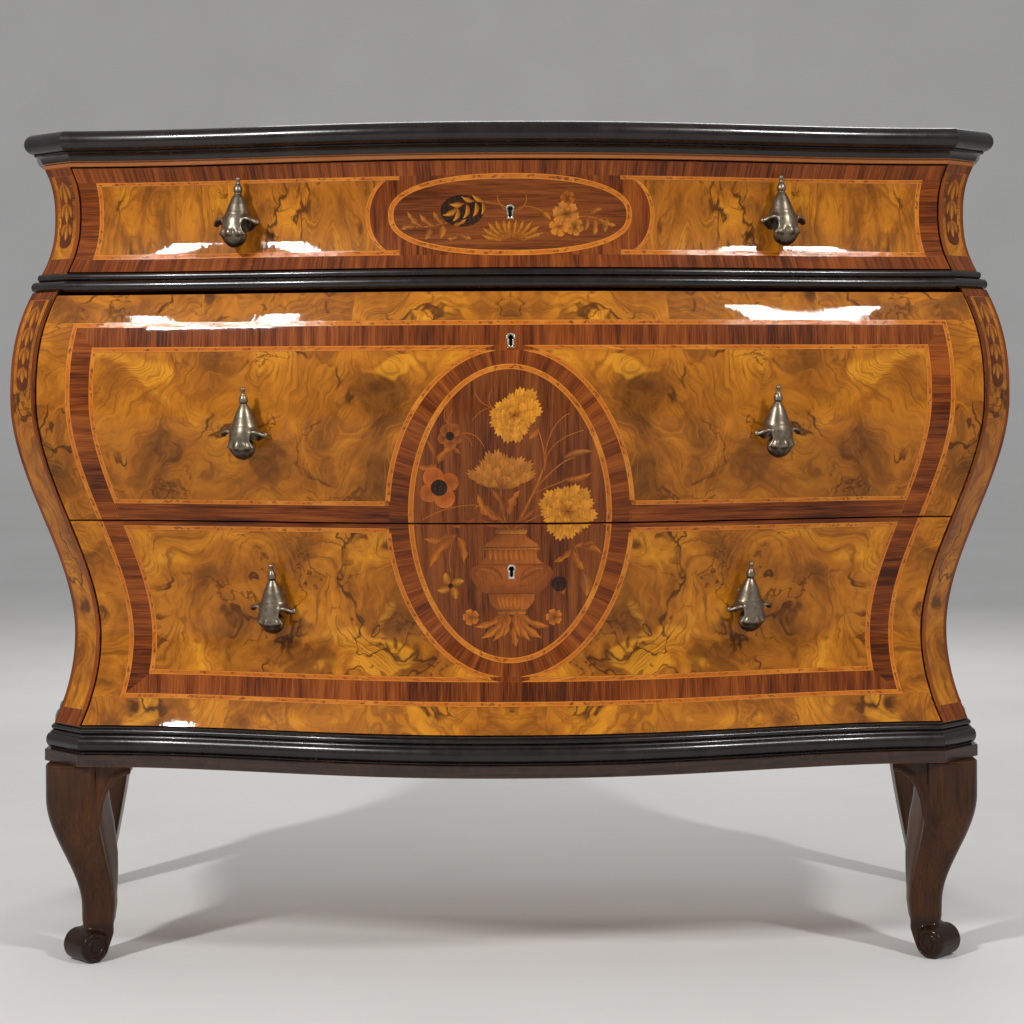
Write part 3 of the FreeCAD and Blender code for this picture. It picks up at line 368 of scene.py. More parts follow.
@dataclass(frozen=True)
class Inlay(Finish):
    """Marquetry woods, each tinted and sand-shaded by the piece itself."""

    grain: Colour = (0.120, 0.0280, 0.0060)

    def paint(self, graph: Graph, place: Socket) -> None:
        """Fill the material's tree.

        Args:
            graph: The tree.
            place: Where the figure is taken from.
        """
        grain = graph.streaks(place, (420.0, 50.0, 9.0))
        tone = graph.node("Attribute", {}, "Color", attribute_name="tone")
        graph.polish(graph.mix(graph.span(grain, 0.40, 0.72, 0.0, 0.42), tone, self.grain), place, grain)


@dataclass(frozen=True)
class Ebonised(Finish):
    """Black polished mouldings, rubbed brown along the arrises."""

    black: Colour = (0.0052, 0.0036, 0.0030)
    soft: Colour = (0.0150, 0.0092, 0.0064)
    brown: Colour = (0.0330, 0.0135, 0.0065)
    rubbed: Colour = (0.0800, 0.0300, 0.0130)
    strip: Colour = (0.3000, 0.0950, 0.0200)

    def paint(self, graph: Graph, place: Socket) -> None:
        """Fill the material's tree.

        Args:
            graph: The tree.
            place: Where the figure is taken from.
        """
        wear, strip, fascia = graph.tones()
        cloud = graph.noise(place, 26.0, 5.0, 0.6)
        drawn = graph.span(graph.streaks(place, (9.0, 30.0, 260.0), 4.0), 0.30, 0.62)
        rubs = graph.span(graph.noise(place, 60.0, 5.0, 0.7), 0.46, 0.70, 0.0, 0.8)
        colour = graph.ramp(cloud, [(0.35, self.black), (0.70, self.soft)])
        colour = graph.mix(graph.math("MULTIPLY", fascia, drawn), colour, self.brown)
        colour = graph.mix(graph.math("MULTIPLY", wear, rubs), colour, self.rubbed)
        colour = graph.mix(strip, colour, self.strip)
        scuff = graph.bump(graph.noise(place, 170.0, 4.0, 0.65), 0.12, 0.0007)
        graph.surface(Base_Color=colour, Roughness=graph.span(cloud, 0.3, 0.7, 0.20, 0.34),
                      Specular_Ior_Level=0.34, Coat_Weight=0.20, Coat_Roughness=0.08, Normal=scuff)


@dataclass(frozen=True)
class LegWood(Finish):
    """Dark polished leg wood with grain along the leg."""

    dark: Colour = (0.017, 0.0055, 0.0020)
    brown: Colour = (0.068, 0.0232, 0.0050)
    rubbed: Colour = (0.150, 0.0520, 0.0110)
    foot: Colour = (0.010, 0.0038, 0.0018)

    def paint(self, graph: Graph, place: Socket) -> None:
        """Fill the material's tree.

        Args:
            graph: The tree.
            place: Where the figure is taken from.
        """
        fine = graph.streaks(place, (420.0, 420.0, 16.0))
        cloud = graph.streaks(place, (24.0, 24.0, 7.0), 4.0)
        blend = graph.sum(fine, 0.35, cloud, 0.65)
        colour = graph.ramp(blend, [(0.34, self.dark), (0.58, self.brown), (0.74, self.rubbed)])
        edge = graph.span(graph.node("NewGeometry", {}, "Pointiness"), 0.53, 0.60, 0.0, 0.55)
        colour = graph.mix(edge, colour, self.rubbed)
        low = graph.span(graph.axis(graph.spot(), "Z"), 0.055, 0.036, 0.0, 0.72)
        colour = graph.mix(low, colour, self.foot)
        graph.surface(Base_Color=colour, Roughness=graph.span(cloud, 0.3, 0.7, 0.32, 0.44),
                      Specular_Ior_Level=0.10, Coat_Weight=0.30, Coat_Roughness=0.06,
                      Normal=graph.bump(fine, 0.06, 0.0006))


@dataclass(frozen=True)
class Bronze(Finish):
    """Antique bronze: dark hollows, bright rubbed crests, and painted shade on faces turned down."""

    dark: Colour = (0.040, 0.029, 0.018)
    warm: Colour = (0.205, 0.164, 0.116)
    bright: Colour = (0.470, 0.400, 0.310)

    def paint(self, graph: Graph, place: Socket) -> None:
        """Fill the material's tree.

        Args:
            graph: The tree.
            place: Where the figure is taken from.
        """
        crest = graph.node("NewGeometry", {}, "Pointiness")
        patina = graph.noise(place, 240.0, 4.0, 0.6)
        facing = graph.axis(graph.node("NewGeometry", {}, "Normal"), "Z")
        # painted shade: faces that look down are darkened, standing for the dark floor that they reflect
        painted_underside_shade = graph.span(facing, -0.8, -0.05, -0.13, -0.04)
        level = graph.math("MULTIPLY_ADD", patina, 0.08, graph.math("ADD", crest, painted_underside_shade))
        colour = graph.ramp(level, [(0.42, self.dark), (0.50, self.warm), (0.60, self.bright)])
        graph.surface(Base_Color=colour, Metallic=0.9, Roughness=graph.span(patina, 0.3, 0.7, 0.30, 0.40),
                      Normal=graph.bump(patina, 0.10, 0.0003))


@dataclass(frozen=True)
class PlainMetal(Finish):
    """Brass or iron with fine scuffs."""

    dull: Colour = (0.30, 0.22, 0.10)
    bright: Colour = (0.72, 0.60, 0.36)
    rough: float = 0.3

    def paint(self, graph: Graph, place: Socket) -> None:
        """Fill the material's tree.

        Args:
            graph: The tree.
            place: Where the figure is taken from.
        """
        scuff = graph.noise(place, 320.0, 4.0, 0.65)
        colour = graph.ramp(scuff, [(0.34, self.dull), (0.60, self.bright)])
        graph.surface(Base_Color=colour, Metallic=1.0,
                      Roughness=graph.span(scuff, 0.3, 0.7, self.rough, self.rough + 0.15),
                      Normal=graph.bump(scuff, 0.08, 0.0002))


@dataclass(frozen=True)
class SecondaryWood(Finish):
    """Plain softwood of the carcase and drawer boxes, grain along X."""

    dark: Colour = (0.140, 0.066, 0.025)
    mid: Colour = (0.290, 0.155, 0.064)
    light: Colour = (0.400, 0.235, 0.105)

    def paint(self, graph: Graph, place: Socket) -> None:
        """Fill the material's tree.

        Args:
            graph: The tree.
            place: Where the figure is taken from.
        """
        bent = graph.vector("MULTIPLY_ADD", graph.noise(place, 3.0, 2.0, output=1), (0.05, 0.05, 0.05), place)
        fine = graph.streaks(place, (18.0, 520.0, 520.0), 2.0, 0.5)
        blend = graph.sum(fine, 0.25, graph.streaks(bent, (2.2, 38.0, 38.0), 3.0, 0.55), 0.75)
        colour = graph.ramp(blend, [(0.30, self.dark), (0.50, self.mid), (0.68, self.light)])
        colour = graph.mix(graph.span(graph.noise(place, 5.0, 3.0), 0.50, 0.75, 0.0, 0.45), colour, self.dark)
        graph.surface(Base_Color=colour, Roughness=graph.span(fine, 0.3, 0.7, 0.62, 0.78),
                      Specular_Ior_Level=0.25, Normal=graph.bump(fine, 0.15, 0.0006))


@dataclass(frozen=True)
class StudioFloor(Finish):
    """Plain pale floor with a faint mottle."""

    low: Colour = (0.70, 0.69, 0.67)
    high: Colour = (0.74, 0.73, 0.71)

    def paint(self, graph: Graph, place: Socket) -> None:
        """Fill the material's tree."""
        colour = graph.ramp(graph.noise(place, 3.0, 3.0), [(0.3, self.low), (0.7, self.high)])
        graph.surface(Base_Color=colour, Roughness=0.7, Specular_Ior_Level=0.2)


BURL = BurlWalnut("burl_walnut_veneer", "burl_walnut")
FLAME = BurlWalnut("burl_walnut_flame", "burl_walnut", drawn=(2.7, 0.9, 1.0))
BURL_SOLID = BurlWalnut("burl_walnut_solid", "burl_walnut", Coords.PLACE)
BAND = Rosewood("rosewood_band", "burl_walnut")
GROUND = Rosewood("rosewood_ground", "burl_walnut", dark=(0.052, 0.0115, 0.0028),
                  brown=(0.140, 0.0330, 0.0060), red=(0.235, 0.0650, 0.0110))
STRING = Stringing("light_string", "burl_walnut")
INLAY = Inlay("marquetry_woods", "burl_walnut")
EBONISED = Ebonised("ebonised_moulding", "ebonised", Coords.PLACE)
LEG_WOOD = LegWood("polished_leg", "leg_wood", Coords.PLACE)
BRONZE = Bronze("antique_bronze", "bronze", Coords.PLACE)
LINER = PlainMetal("liner_metal", "liner_brass", Coords.PLACE, (0.34, 0.29, 0.20), (0.80, 0.74, 0.60), 0.24)
IRON = PlainMetal("lock_iron_metal", "lock_iron", Coords.PLACE, (0.10, 0.10, 0.10), (0.34, 0.33, 0.32), 0.42)
SOFTWOOD = SecondaryWood("carcase_softwood", "secondary_wood", Coords.PLACE)
FLOOR = StudioFloor("studio_floor", "", Coords.PLACE)


# Form of the body

@dataclass(frozen=True)
class BodyForm:
    """Curved form of the chest, with the same sizes as its solids, and the heights of its stages."""

    leg_height: float = 0.240
    base_height: float = 0.046
    lower_height: float = 0.514
    waist_height: float = 0.022
    upper_height: float = 0.126
    top_height: float = 0.041
    depth: float = 0.5835
    opening_half: float = 0.4915
    corner_depth: float = 0.430
    cant: float = 0.036
    front_bow: float = 0.090
    bow_power: float = 1.12
    side_bow: float = 0.026
    side_front: float = -0.374
    side_rear: float = -0.040
    skirt: float = 0.021
    pinch_rise: float = 0.105
    belly_rise: float = 0.388
    belly: float = 0.0635
    shoulder: float = 0.041
    shoulder_power: float = 2.5
    cove_foot: float = 0.032
    cove_rise: float = 0.070
    cove: float = 0.0184
    cove_top: float = 0.0285
    cove_power: float = 2.4
    end_gap: float = 0.0025
    z_body: float = leg_height + base_height
    z_waist: float = z_body + lower_height
    z_upper: float = z_waist + waist_height
    z_head: float = z_upper + upper_height
    z_top: float = z_head + top_height
    shift: float = 0.5 * depth

    def swell(self, z: Array) -> Array:
        """How far the body stands out.

        Args:
            z: Heights.

        Returns:
            Swell at each height.
        """
        z = np.asarray(z, float)
        rise = z - self.z_body
        skirt = self.skirt * np.clip((self.pinch_rise - rise) / self.pinch_rise, 0.0, 1.0) ** 2
        climb = np.clip((rise - self.pinch_rise) / (self.belly_rise - self.pinch_rise), 0.0, 1.0)
        fall = np.clip((rise - self.belly_rise) / (self.lower_height - self.belly_rise), 0.0, 1.0)
        lower = skirt + self.belly * climb ** 2 * (3.0 - 2.0 * climb)
        lower = lower - (self.belly - self.shoulder) * fall ** self.shoulder_power
        above = z - self.z_upper
        foot = np.clip((self.cove_rise - above) / self.cove_rise, 0.0, 1.0) ** self.cove_power
        climb = np.clip((above - self.cove_rise) / (self.upper_height - self.cove_rise), 0.0, 1.0)
        head = (self.cove_top - self.cove) * climb ** self.cove_power
        upper = self.cove + (self.cove_foot - self.cove) * foot + head
        return np.where(z <= self.z_waist, lower, upper)

    def front_y(self, x: Array, out: Array, half: Array) -> Array:
        """Y of the bowed front at places across it, from the swell and half the width of the bow."""
        share = np.minimum(np.abs(x) / half, 1.0) ** self.bow_power
        return self.shift - (self.corner_depth + out + self.front_bow * 0.5 * (1.0 + np.cos(np.pi * share)))

    def side_x(self, y: Array, out: Array) -> Array:
        """Half width of the bowed side.

        Args:
            y: Depths, from the back plane.
            out: Swell there.

        Returns:
            X of the right-hand side.
        """
        share = np.clip((y - self.side_front) / (self.side_rear - self.side_front), 0.0, 1.0)
        bow = self.side_bow * 0.5 * (1.0 - np.cos(2.0 * np.pi * share))
        return self.opening_half + self.cant + out + bow

    def edge(self, z: Array) -> Array:
        """Half width of a drawer front."""
        return self.opening_half + self.swell(z) - self.end_gap


FORM = BodyForm()
STAGES = (("lower", FORM.z_body, FORM.z_waist), ("upper", FORM.z_upper, FORM.z_head))


# Skins that veneers lie on

@dataclass
class Skin:
    """A curved face with two coordinates, standing out from the body."""

    low: float = 0.0
    high: float = 0.0
    side: int = 1

    def out(self, v: Array) -> Array:
        """Swell of the body at heights on this face."""
        return FORM.swell(np.clip(v, self.low, self.high))

    def place(self, u: Array, v: Array) -> Array:
        """Points of the face."""
        raise NotImplementedError

    def at(self, flat: Array) -> Array:
        """Points over the face.

        Args:
            flat: Rows of two face coordinates and a height.

        Returns:
            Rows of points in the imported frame.
        """
        u, v, height = flat.T
        step = 1e-4
        normal = np.cross(self.place(u + step, v) - self.place(u - step, v),
                          self.place(u, v + step) - self.place(u, v - step))
        normal *= self.side / np.linalg.norm(normal, axis=1, keepdims=True)
        return self.place(u, v) + normal * height[:, None]


class FrontSkin(Skin):
    """Bowed front of one drawer: across and up."""

    def place(self, u: Array, v: Array) -> Array:
        """Points of the face."""
        out = self.out(v)
        return stack(u, FORM.front_y(u, out, FORM.opening_half + out), v)


class CantSkin(Skin):
    """Canted corner of one stage: from its front arris back, and up."""

    def place(self, u: Array, v: Array) -> Array:
        """Points of the face."""
        out, back = self.out(v), u * math.sqrt(0.5)
        x = FORM.opening_half + out + back
        return stack(self.side * x, FORM.shift - (FORM.corner_depth + out) + back, v)


class SideSkin(Skin):
    """Bowed side of one stage: from the front back, and up."""

    def place(self, u: Array, v: Array) -> Array:
        """Points of the face."""
        return stack(self.side * FORM.side_x(u, self.out(v)), FORM.shift + u, v)


class TopSkin(Skin):
    """Flat top: across and back."""

    def place(self, u: Array, v: Array) -> Array:
        """Points of the face."""
        return stack(u, v, FORM.z_top)


# Meshes

def put(name: str, data: bpy.types.ID) -> bpy.types.Object:
    """New object in the scene."""
    made = bpy.data.objects.new(name, data)
    bpy.context.scene.collection.objects.link(made)
    return made


def add_piece(name: str, mesh: Mesh, finish: Finish, body: str, sharp: float = 35.0) -> bpy.types.Object:
    """Put a finished mesh into the scene.

    Args:
        name: Name of the piece.
        mesh: Its mesh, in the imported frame.
        finish: Its finish.
        body: Body that it rides on.
        sharp: Angle in degrees above which edges stay sharp.

    Returns:
        The new piece.
    """
    mesh.shade_smooth()
    mesh.set_sharp_from_angle(angle=math.radians(sharp))
    mesh.materials.clear()
    mesh.materials.append(finish.material())
    piece = put(name, mesh)
    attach(piece, body)
    log.info("%s on %s, %d faces", name, body, len(mesh.polygons))
    return piece


def tint(mesh: Mesh, tones: Array) -> None:
    """Store a colour at each vertex."""
    colours = np.column_stack([tones, np.ones(len(tones))]).astype(np.float32)
    mesh.attributes.new("tone", "FLOAT_COLOR", "POINT").data.foreach_set("color", colours.ravel())


def grid_faces(count: int, width: int, loop: bool = False, wrap: bool = False, start: int = 0) -> list[tuple]:
    """Quads of a grid of points.

    Args:
        count: Rows.
        width: Points in a row.
        loop: Whether each row closes on itself.
        wrap: Whether the last row joins the first.
        start: Number of the first point.

    Returns:
        Corner numbers of each quad.
    """
    faces = []
    for i in range(count if wrap else count - 1):
        here, there = start + i * width, start + (i + 1) % count * width
        for j in range(width if loop else width - 1):
            m = (j + 1) % width
            faces.append((here + j, here + m, there + m, there + j))
    return faces


def closed_mesh(name: str, points: Array, faces: Sequence[tuple]) -> Mesh:
    """Mesh with its faces turned outwards.

    Args:
        name: Name of the mesh.
        points: Rows of points.
        faces: Corner numbers.

    Returns:
        The mesh.
    """
    mesh = bpy.data.meshes.new(name)
    mesh.from_pydata([tuple(point) for point in points], [], [tuple(face) for face in faces])
    work = bmesh.new()
    work.from_mesh(mesh)
    bmesh.ops.recalc_face_normals(work, faces=work.faces)
    work.to_mesh(mesh)
    work.free()
    return mesh


class Solids:
    """Several closed meshes gathered into one."""

    def __init__(self) -> None:
        """Start empty."""
        self.points: list[Array] = []
        self.faces: list[tuple] = []
        self.count = 0

    def add(self, points: Array, faces: Sequence[tuple]) -> None:
        """Add a closed mesh.

        Args:
            points: Rows of points.
            faces: Corner numbers within these points.
        """
        self.faces += [tuple(self.count + int(corner) for corner in face) for face in faces]
        self.points.append(np.asarray(points, float).reshape(-1, 3))
        self.count += len(self.points[-1])

    def tube(self, rings: Sequence[Array]) -> None:
        """Add a solid through closed rings, capped at both ends.

        Args:
            rings: Rings by points by three numbers.
        """
        count, width = len(rings), len(rings[0])
        caps = [tuple(range(width)), tuple(range((count - 1) * width, count * width))]
        self.add(np.concatenate(rings), grid_faces(count, width, loop=True) + caps)

    def rod(self, path: Array, radii: Array, count: int = 12) -> None:
        """Add a round rod along a path.

        Args:
            path: Rows of points.
            radii: Radius at each point.
            count: Points in a ring.
        """
        slope = np.gradient(path, axis=0)
        slope /= np.linalg.norm(slope, axis=1, keepdims=True)
        first = np.cross(slope[0], UP if abs(slope[0, 2]) < 0.8 else (1.0, 0.0, 0.0))
        turns = full_turn(count)
        rings = []
        for point, direction, radius in zip(path, slope, radii):
            first = first - direction * (first @ direction)
            first = first / np.linalg.norm(first)
            second = np.cross(direction, first)
            rings.append(point + radius * (np.outer(np.cos(turns), first) + np.outer(np.sin(turns), second)))
        self.tube(rings)

    def ball(self, middle: Array, radii: Vec3) -> None:
        """Add a rounded lump about its middle."""
        tilts, turns = np.linspace(0.05, math.pi - 0.05, 18), full_turn(32)
        self.tube([middle + stack(math.sin(tilt) * np.cos(turns), math.sin(tilt) * np.sin(turns),
                                  math.cos(tilt)) * radii for tilt in tilts])

    def sheet(self, grid: Array, thickness: float) -> None:
        """Add a curved sheet with a thickness.

        Args:
            grid: Rows by points by three numbers.
            thickness: Thickness of the sheet.
        """
        rows, width = grid.shape[:2]
        normal = np.cross(np.gradient(grid, axis=0), np.gradient(grid, axis=1))
        normal /= np.maximum(np.linalg.norm(normal, axis=2, keepdims=True), 1e-12)
        both = [(grid + normal * thickness * share).reshape(-1, 3) for share in (0.5, -0.5)]
        size = rows * width
        number = np.arange(size).reshape(rows, width)
        rim = [*number[0], *number[1:, -1], *number[-1, -2::-1], *number[-2:0:-1, 0]]
        walls = [(a, b, b + size, a + size) for a, b in zip(rim, rim[1:] + rim[:1])]
        self.add(np.concatenate(both), grid_faces(rows, width) + grid_faces(rows, width, start=size) + walls)

    def mesh(self, name: str) -> Mesh:
        """The gathered mesh."""
        return closed_mesh(name, np.concatenate(self.points), self.faces)

    def melted(self, name: str, voxel: float, rounds: int = 5) -> Mesh:
        """The gathered mesh grown together into one smooth skin.

        Args:
            name: Name of the mesh.
            voxel: Size of the smallest detail.
            rounds: Rounds of smoothing.

        Returns:
            The new mesh.
        """
        work = put(name + "_work", self.mesh(name + "_work"))
        remesh = work.modifiers.new("grow", "REMESH")
        remesh.mode = "VOXEL"
        remesh.voxel_size = voxel
        smooth = work.modifiers.new("smooth", "SMOOTH")
        smooth.factor = 0.5
        smooth.iterations = rounds
        made = bpy.data.meshes.new_from_object(work.evaluated_get(bpy.context.evaluated_depsgraph_get()))
        bpy.data.objects.remove(work)
        made.name = name
        return made


class Grain(Enum):
    """Which way the grain of a plate runs."""

    BAND = "across the strip"
    RUN = "along the strip"
    UPRIGHT = "up the face"
    LEVEL = "along the face"
    MATCHED = "book-matched about the middle"
    STRING = "along a string"


@dataclass(frozen=True)
class Shade:
    """Colours of an inlaid piece, with sand shading towards one edge and between its petals."""

    base: Colour
    tip: Colour
    edge: float = 0.35
    ripple: int = 0

    def dimmed(self, share: float) -> "Shade":
        """The shade with less light in it."""
        base, tip = (tuple(share * part for part in colour) for colour in (self.base, self.tip))
        return Shade(base, tip, self.edge, self.ripple)

    def petalled(self, petals: int) -> "Shade":
        """The shade with dark gaps between petals."""
        return Shade(self.base, self.tip, 0.6, petals)

    def over(self, along: Array, across: Array) -> Array:
        """Colours over a strip.

        Args:
            along: Share of the length at each row.
            across: Share of the width at each point.

        Returns:
            Rows by points by three numbers.
        """
        a, c = along[:, None, None], across[None, :, None]
        share = c if self.ripple else a
        colour = np.array(self.base) * (1.0 - share) + np.array(self.tip) * share
        dip = (1.0 - np.abs(np.sin(np.pi * self.ripple * a))) ** 2 if self.ripple else 1.0 - c
        return np.broadcast_to(colour * (1.0 - self.edge * dip), (len(along), len(across), 3))


def refine(first: Array, second: Array, closed: bool) -> tuple[Array, Array]:
    """Two edges of a strip with more points where they are far apart.

    Args:
        first: One edge.
        second: The other edge.
        closed: Whether the strip closes on itself.

    Returns:
        Both edges.
    """
    if closed:
        first, second = np.vstack([first, first[:1]]), np.vstack([second, second[:1]])
    step = np.maximum(*[np.linalg.norm(np.diff(edge, axis=0), axis=1) for edge in (first, second)])
    parts = np.maximum(1, np.ceil(step / PLATE_PITCH)).astype(int)
    places = np.concatenate([np.arange(n) / n + i for i, n in enumerate(parts)] + [[float(len(parts))]])
    if closed:
        places = places[:-1]
    return resample(first, places), resample(second, places)


@dataclass
class Plates:
    """Thin closed plates of one finish on one skin, gathered into a single piece.

    The level is the height of its face over the skin, and the clip holds the lowest and the highest place.
    """

    name: str
    body: str
    skin: Skin
    finish: Finish
    level: float
    clip: Optional[Point] = None
    count: int = 0
    laid: int = 0

    def __post_init__(self) -> None:
        """Start without plates."""
        self.flat: list[Array] = []
        self.faces: list[tuple] = []
        self.grain: list[Array] = []
        self.tones: list[Array] = []

    def strip(self, first: Sequence, second: Sequence, grain: Grain = Grain.BAND, closed: bool = False,
              shade: Optional[Shade] = None, leaf: Optional[float] = None, lift: float = 0.0) -> None:
        """Lay a plate between two edges.

        Args:
            first: Points of one edge, on the face.
            second: As many points of the other edge.
            grain: Which way its grain runs.
            closed: Whether it closes on itself.
            shade: Its colours, for an inlaid piece.
            leaf: Which leaf of the veneer it is cut from.
            lift: Extra height.
        """
        first, second = refine(np.asarray(first, float), np.asarray(second, float), closed)
        width = max(2, int(np.ceil(np.linalg.norm(second - first, axis=1).max() / PLATE_PITCH)) + 1)
        across = np.linspace(0.0, 1.0, width)
        grid = first[:, None] * (1.0 - across[None, :, None]) + second[:, None] * across[None, :, None]
        n = len(first)
        steps = np.linalg.norm(np.diff(0.5 * (first + second), axis=0), axis=1)
        run = np.concatenate([[0.0], np.cumsum(steps)])
        along = np.broadcast_to(run[:, None], (n, width))
        wide = np.linalg.norm(grid - first[:, None], axis=2)
        u, v = grid[:, :, 0], grid[:, :, 1]
        p, q = {Grain.BAND: (along, wide), Grain.RUN: (wide, along), Grain.UPRIGHT: (u, v),
                Grain.LEVEL: (v, u), Grain.MATCHED: (np.abs(u), v),
                Grain.STRING: (along, np.broadcast_to(across, u.shape))}[grain]
        self.laid += 1
        seed = 0.377 * self.laid if leaf is None else leaf
        figure = np.stack([p, q, np.full_like(u, seed)], axis=2).reshape(-1, 3)
        tones = shade.over(run / max(run[-1], 1e-9), across) if shade else np.zeros((n, width, 3))
        size = n * width
        height = np.repeat([self.level + lift, -PLATE_SINK], size)
        points = np.column_stack([np.tile(grid.reshape(-1, 2), (2, 1)), height])
        faces = grid_faces(n, width, wrap=closed) + grid_faces(n, width, wrap=closed, start=size)
        number = np.arange(size).reshape(n, width)
        rims = [number[:, 0], number[:, -1]]
        if closed:
            rims = [np.append(rim, rim[0]) for rim in rims]
        else:
            rims += [number[0], number[-1]]
        for rim in rims:
            faces += [(a, b, b + size, a + size) for a, b in zip(rim, rim[1:])]
        self._keep(points, faces, np.tile(figure, (2, 1)), np.tile(tones.reshape(-1, 3), (2, 1)))

    def _keep(self, points: Array, faces: list[tuple], figure: Array, tones: Array) -> None:
        """Join the points that fall together within a plate, and gather it.

        Args:
            points: Flat points with heights.
            faces: Corner numbers.
            figure: Grain coordinates.
            tones: Colours.
        """
        _, where, number = np.unique(np.round(points, 7), axis=0, return_index=True, return_inverse=True)
        number = number.ravel()
        for face in faces:
            corners = [int(number[k]) for k in face]
            kept = [c for i, c in enumerate(corners) if c != corners[i - 1]]
            if len(set(kept)) == len(kept) and len(kept) > 2:
                self.faces.append(tuple(self.count + c for c in kept))
        self.flat.append(points[where])
        self.grain.append(figure[where])
        self.tones.append(tones[where])
        self.count += len(where)

    def stain(self, spots: Sequence[Spot]) -> None:
        """Mark pale and deep areas of the veneer, the same to both sides of the middle.

        Args:
            spots: Place across and up, half width and half height, and how pale or, below nought, how deep.
        """
        for flat, tone in zip(self.flat, self.tones):
            for across, up, wide, tall, amount in spots:
                off = ((np.abs(flat[:, 0]) - across) / wide) ** 2 + ((flat[:, 1] - up) / tall) ** 2
                tone[:, 0 if amount > 0.0 else 1] += abs(amount) * np.exp(-off)

    def build(self) -> None:
        """Lay all plates on the skin."""
        mesh = bpy.data.meshes.new(self.name)
        mesh.from_pydata([tuple(point) for point in np.concatenate(self.flat)], [], self.faces)
        layer = mesh.attributes.new("grain", "FLOAT_VECTOR", "POINT")
        layer.data.foreach_set("vector", np.concatenate(self.grain).astype(np.float32).ravel())
        tint(mesh, np.concatenate(self.tones))
        work = bmesh.new()
        work.from_mesh(mesh)
        for place, inner in zip(self.clip or (), (True, False)):
            geometry = work.verts[:] + work.edges[:] + work.faces[:]
            bmesh.ops.bisect_plane(work, geom=geometry, plane_co=(0.0, place, 0.0), plane_no=(0.0, 1.0, 0.0),
                                   clear_inner=inner, clear_outer=not inner)
            bmesh.ops.holes_fill(work, edges=[edge for edge in work.edges if edge.is_boundary], sides=0)
        placed = self.skin.at(np.array([vertex.co for vertex in work.verts], float))
        for vertex, point in zip(work.verts, placed):
            vertex.co = point
        bmesh.ops.recalc_face_normals(work, faces=work.faces)
        work.to_mesh(mesh)
        work.free()
        add_piece(self.name, mesh, self.finish, self.body)


@dataclass
class Veneers:
    """All veneers of one face, by their kind, strings and inlay being cut off at the clip."""

    title: str
    body: str
    skin: Skin
    figure: Finish = BURL
    clip: Optional[Point] = None
    drawing: str = "marquetry"

    def __post_init__(self) -> None:
        """Start without plates."""
        self.burl = self.kind("burl", self.figure, FIELD_LEVEL)
        self.band = self.kind("banding", BAND, BAND_LEVEL)
        self.string = self.kind("stringing", STRING, STRING_LEVEL, self.clip)
        self.ground = self.kind("ground", GROUND, GROUND_LEVEL)
        self.inlay = self.kind(self.drawing, INLAY, INLAY_LEVEL, self.clip)

    def kind(self, word: str, finish: Finish, level: float, clip: Optional[Point] = None) -> Plates:
        """Plates of one kind, named by its word."""
        return Plates(f"{self.title}_{word}", self.body, self.skin, finish, level, clip)

    def build(self) -> None:
        """Build the kinds that this face has."""
        for plates in (self.burl, self.band, self.string, self.ground, self.inlay):
            if plates.laid:
                plates.build()


def oval(a: float, b: float, turns: Array, centre: Point = (0.0, 0.0), power: float = 2.0) -> Array:
    """Points of an oval at some angles, a power of two giving an ellipse and more a fuller oval."""
    c, s = np.cos(turns), np.sin(turns)
    return stack(centre[0] + a * np.sign(c) * np.abs(c) ** (2.0 / power),
                 centre[1] + b * np.sign(s) * np.abs(s) ** (2.0 / power))


def level_line(x0: float, x1: float, z: float, count: int) -> Array:
    """Straight level line on a face."""
    return stack(np.linspace(x0, x1, count), z)


def by_angle(outline: Array, centre: Point, turns: Array) -> Array:
    """Points of a closed outline at given angles round a point inside it.

    Args:
        outline: Rows of points.
        centre: Point inside.
        turns: Angles.

    Returns:
        Rows of points.
    """
    off = outline - np.array(centre)
    angle = np.arctan2(off[:, 1], off[:, 0])
    order = np.argsort(angle)
    reach = np.interp(turns, angle[order], np.linalg.norm(off, axis=1)[order], period=2.0 * np.pi)
    return np.array(centre) + stack(reach * np.cos(turns), reach * np.sin(turns))


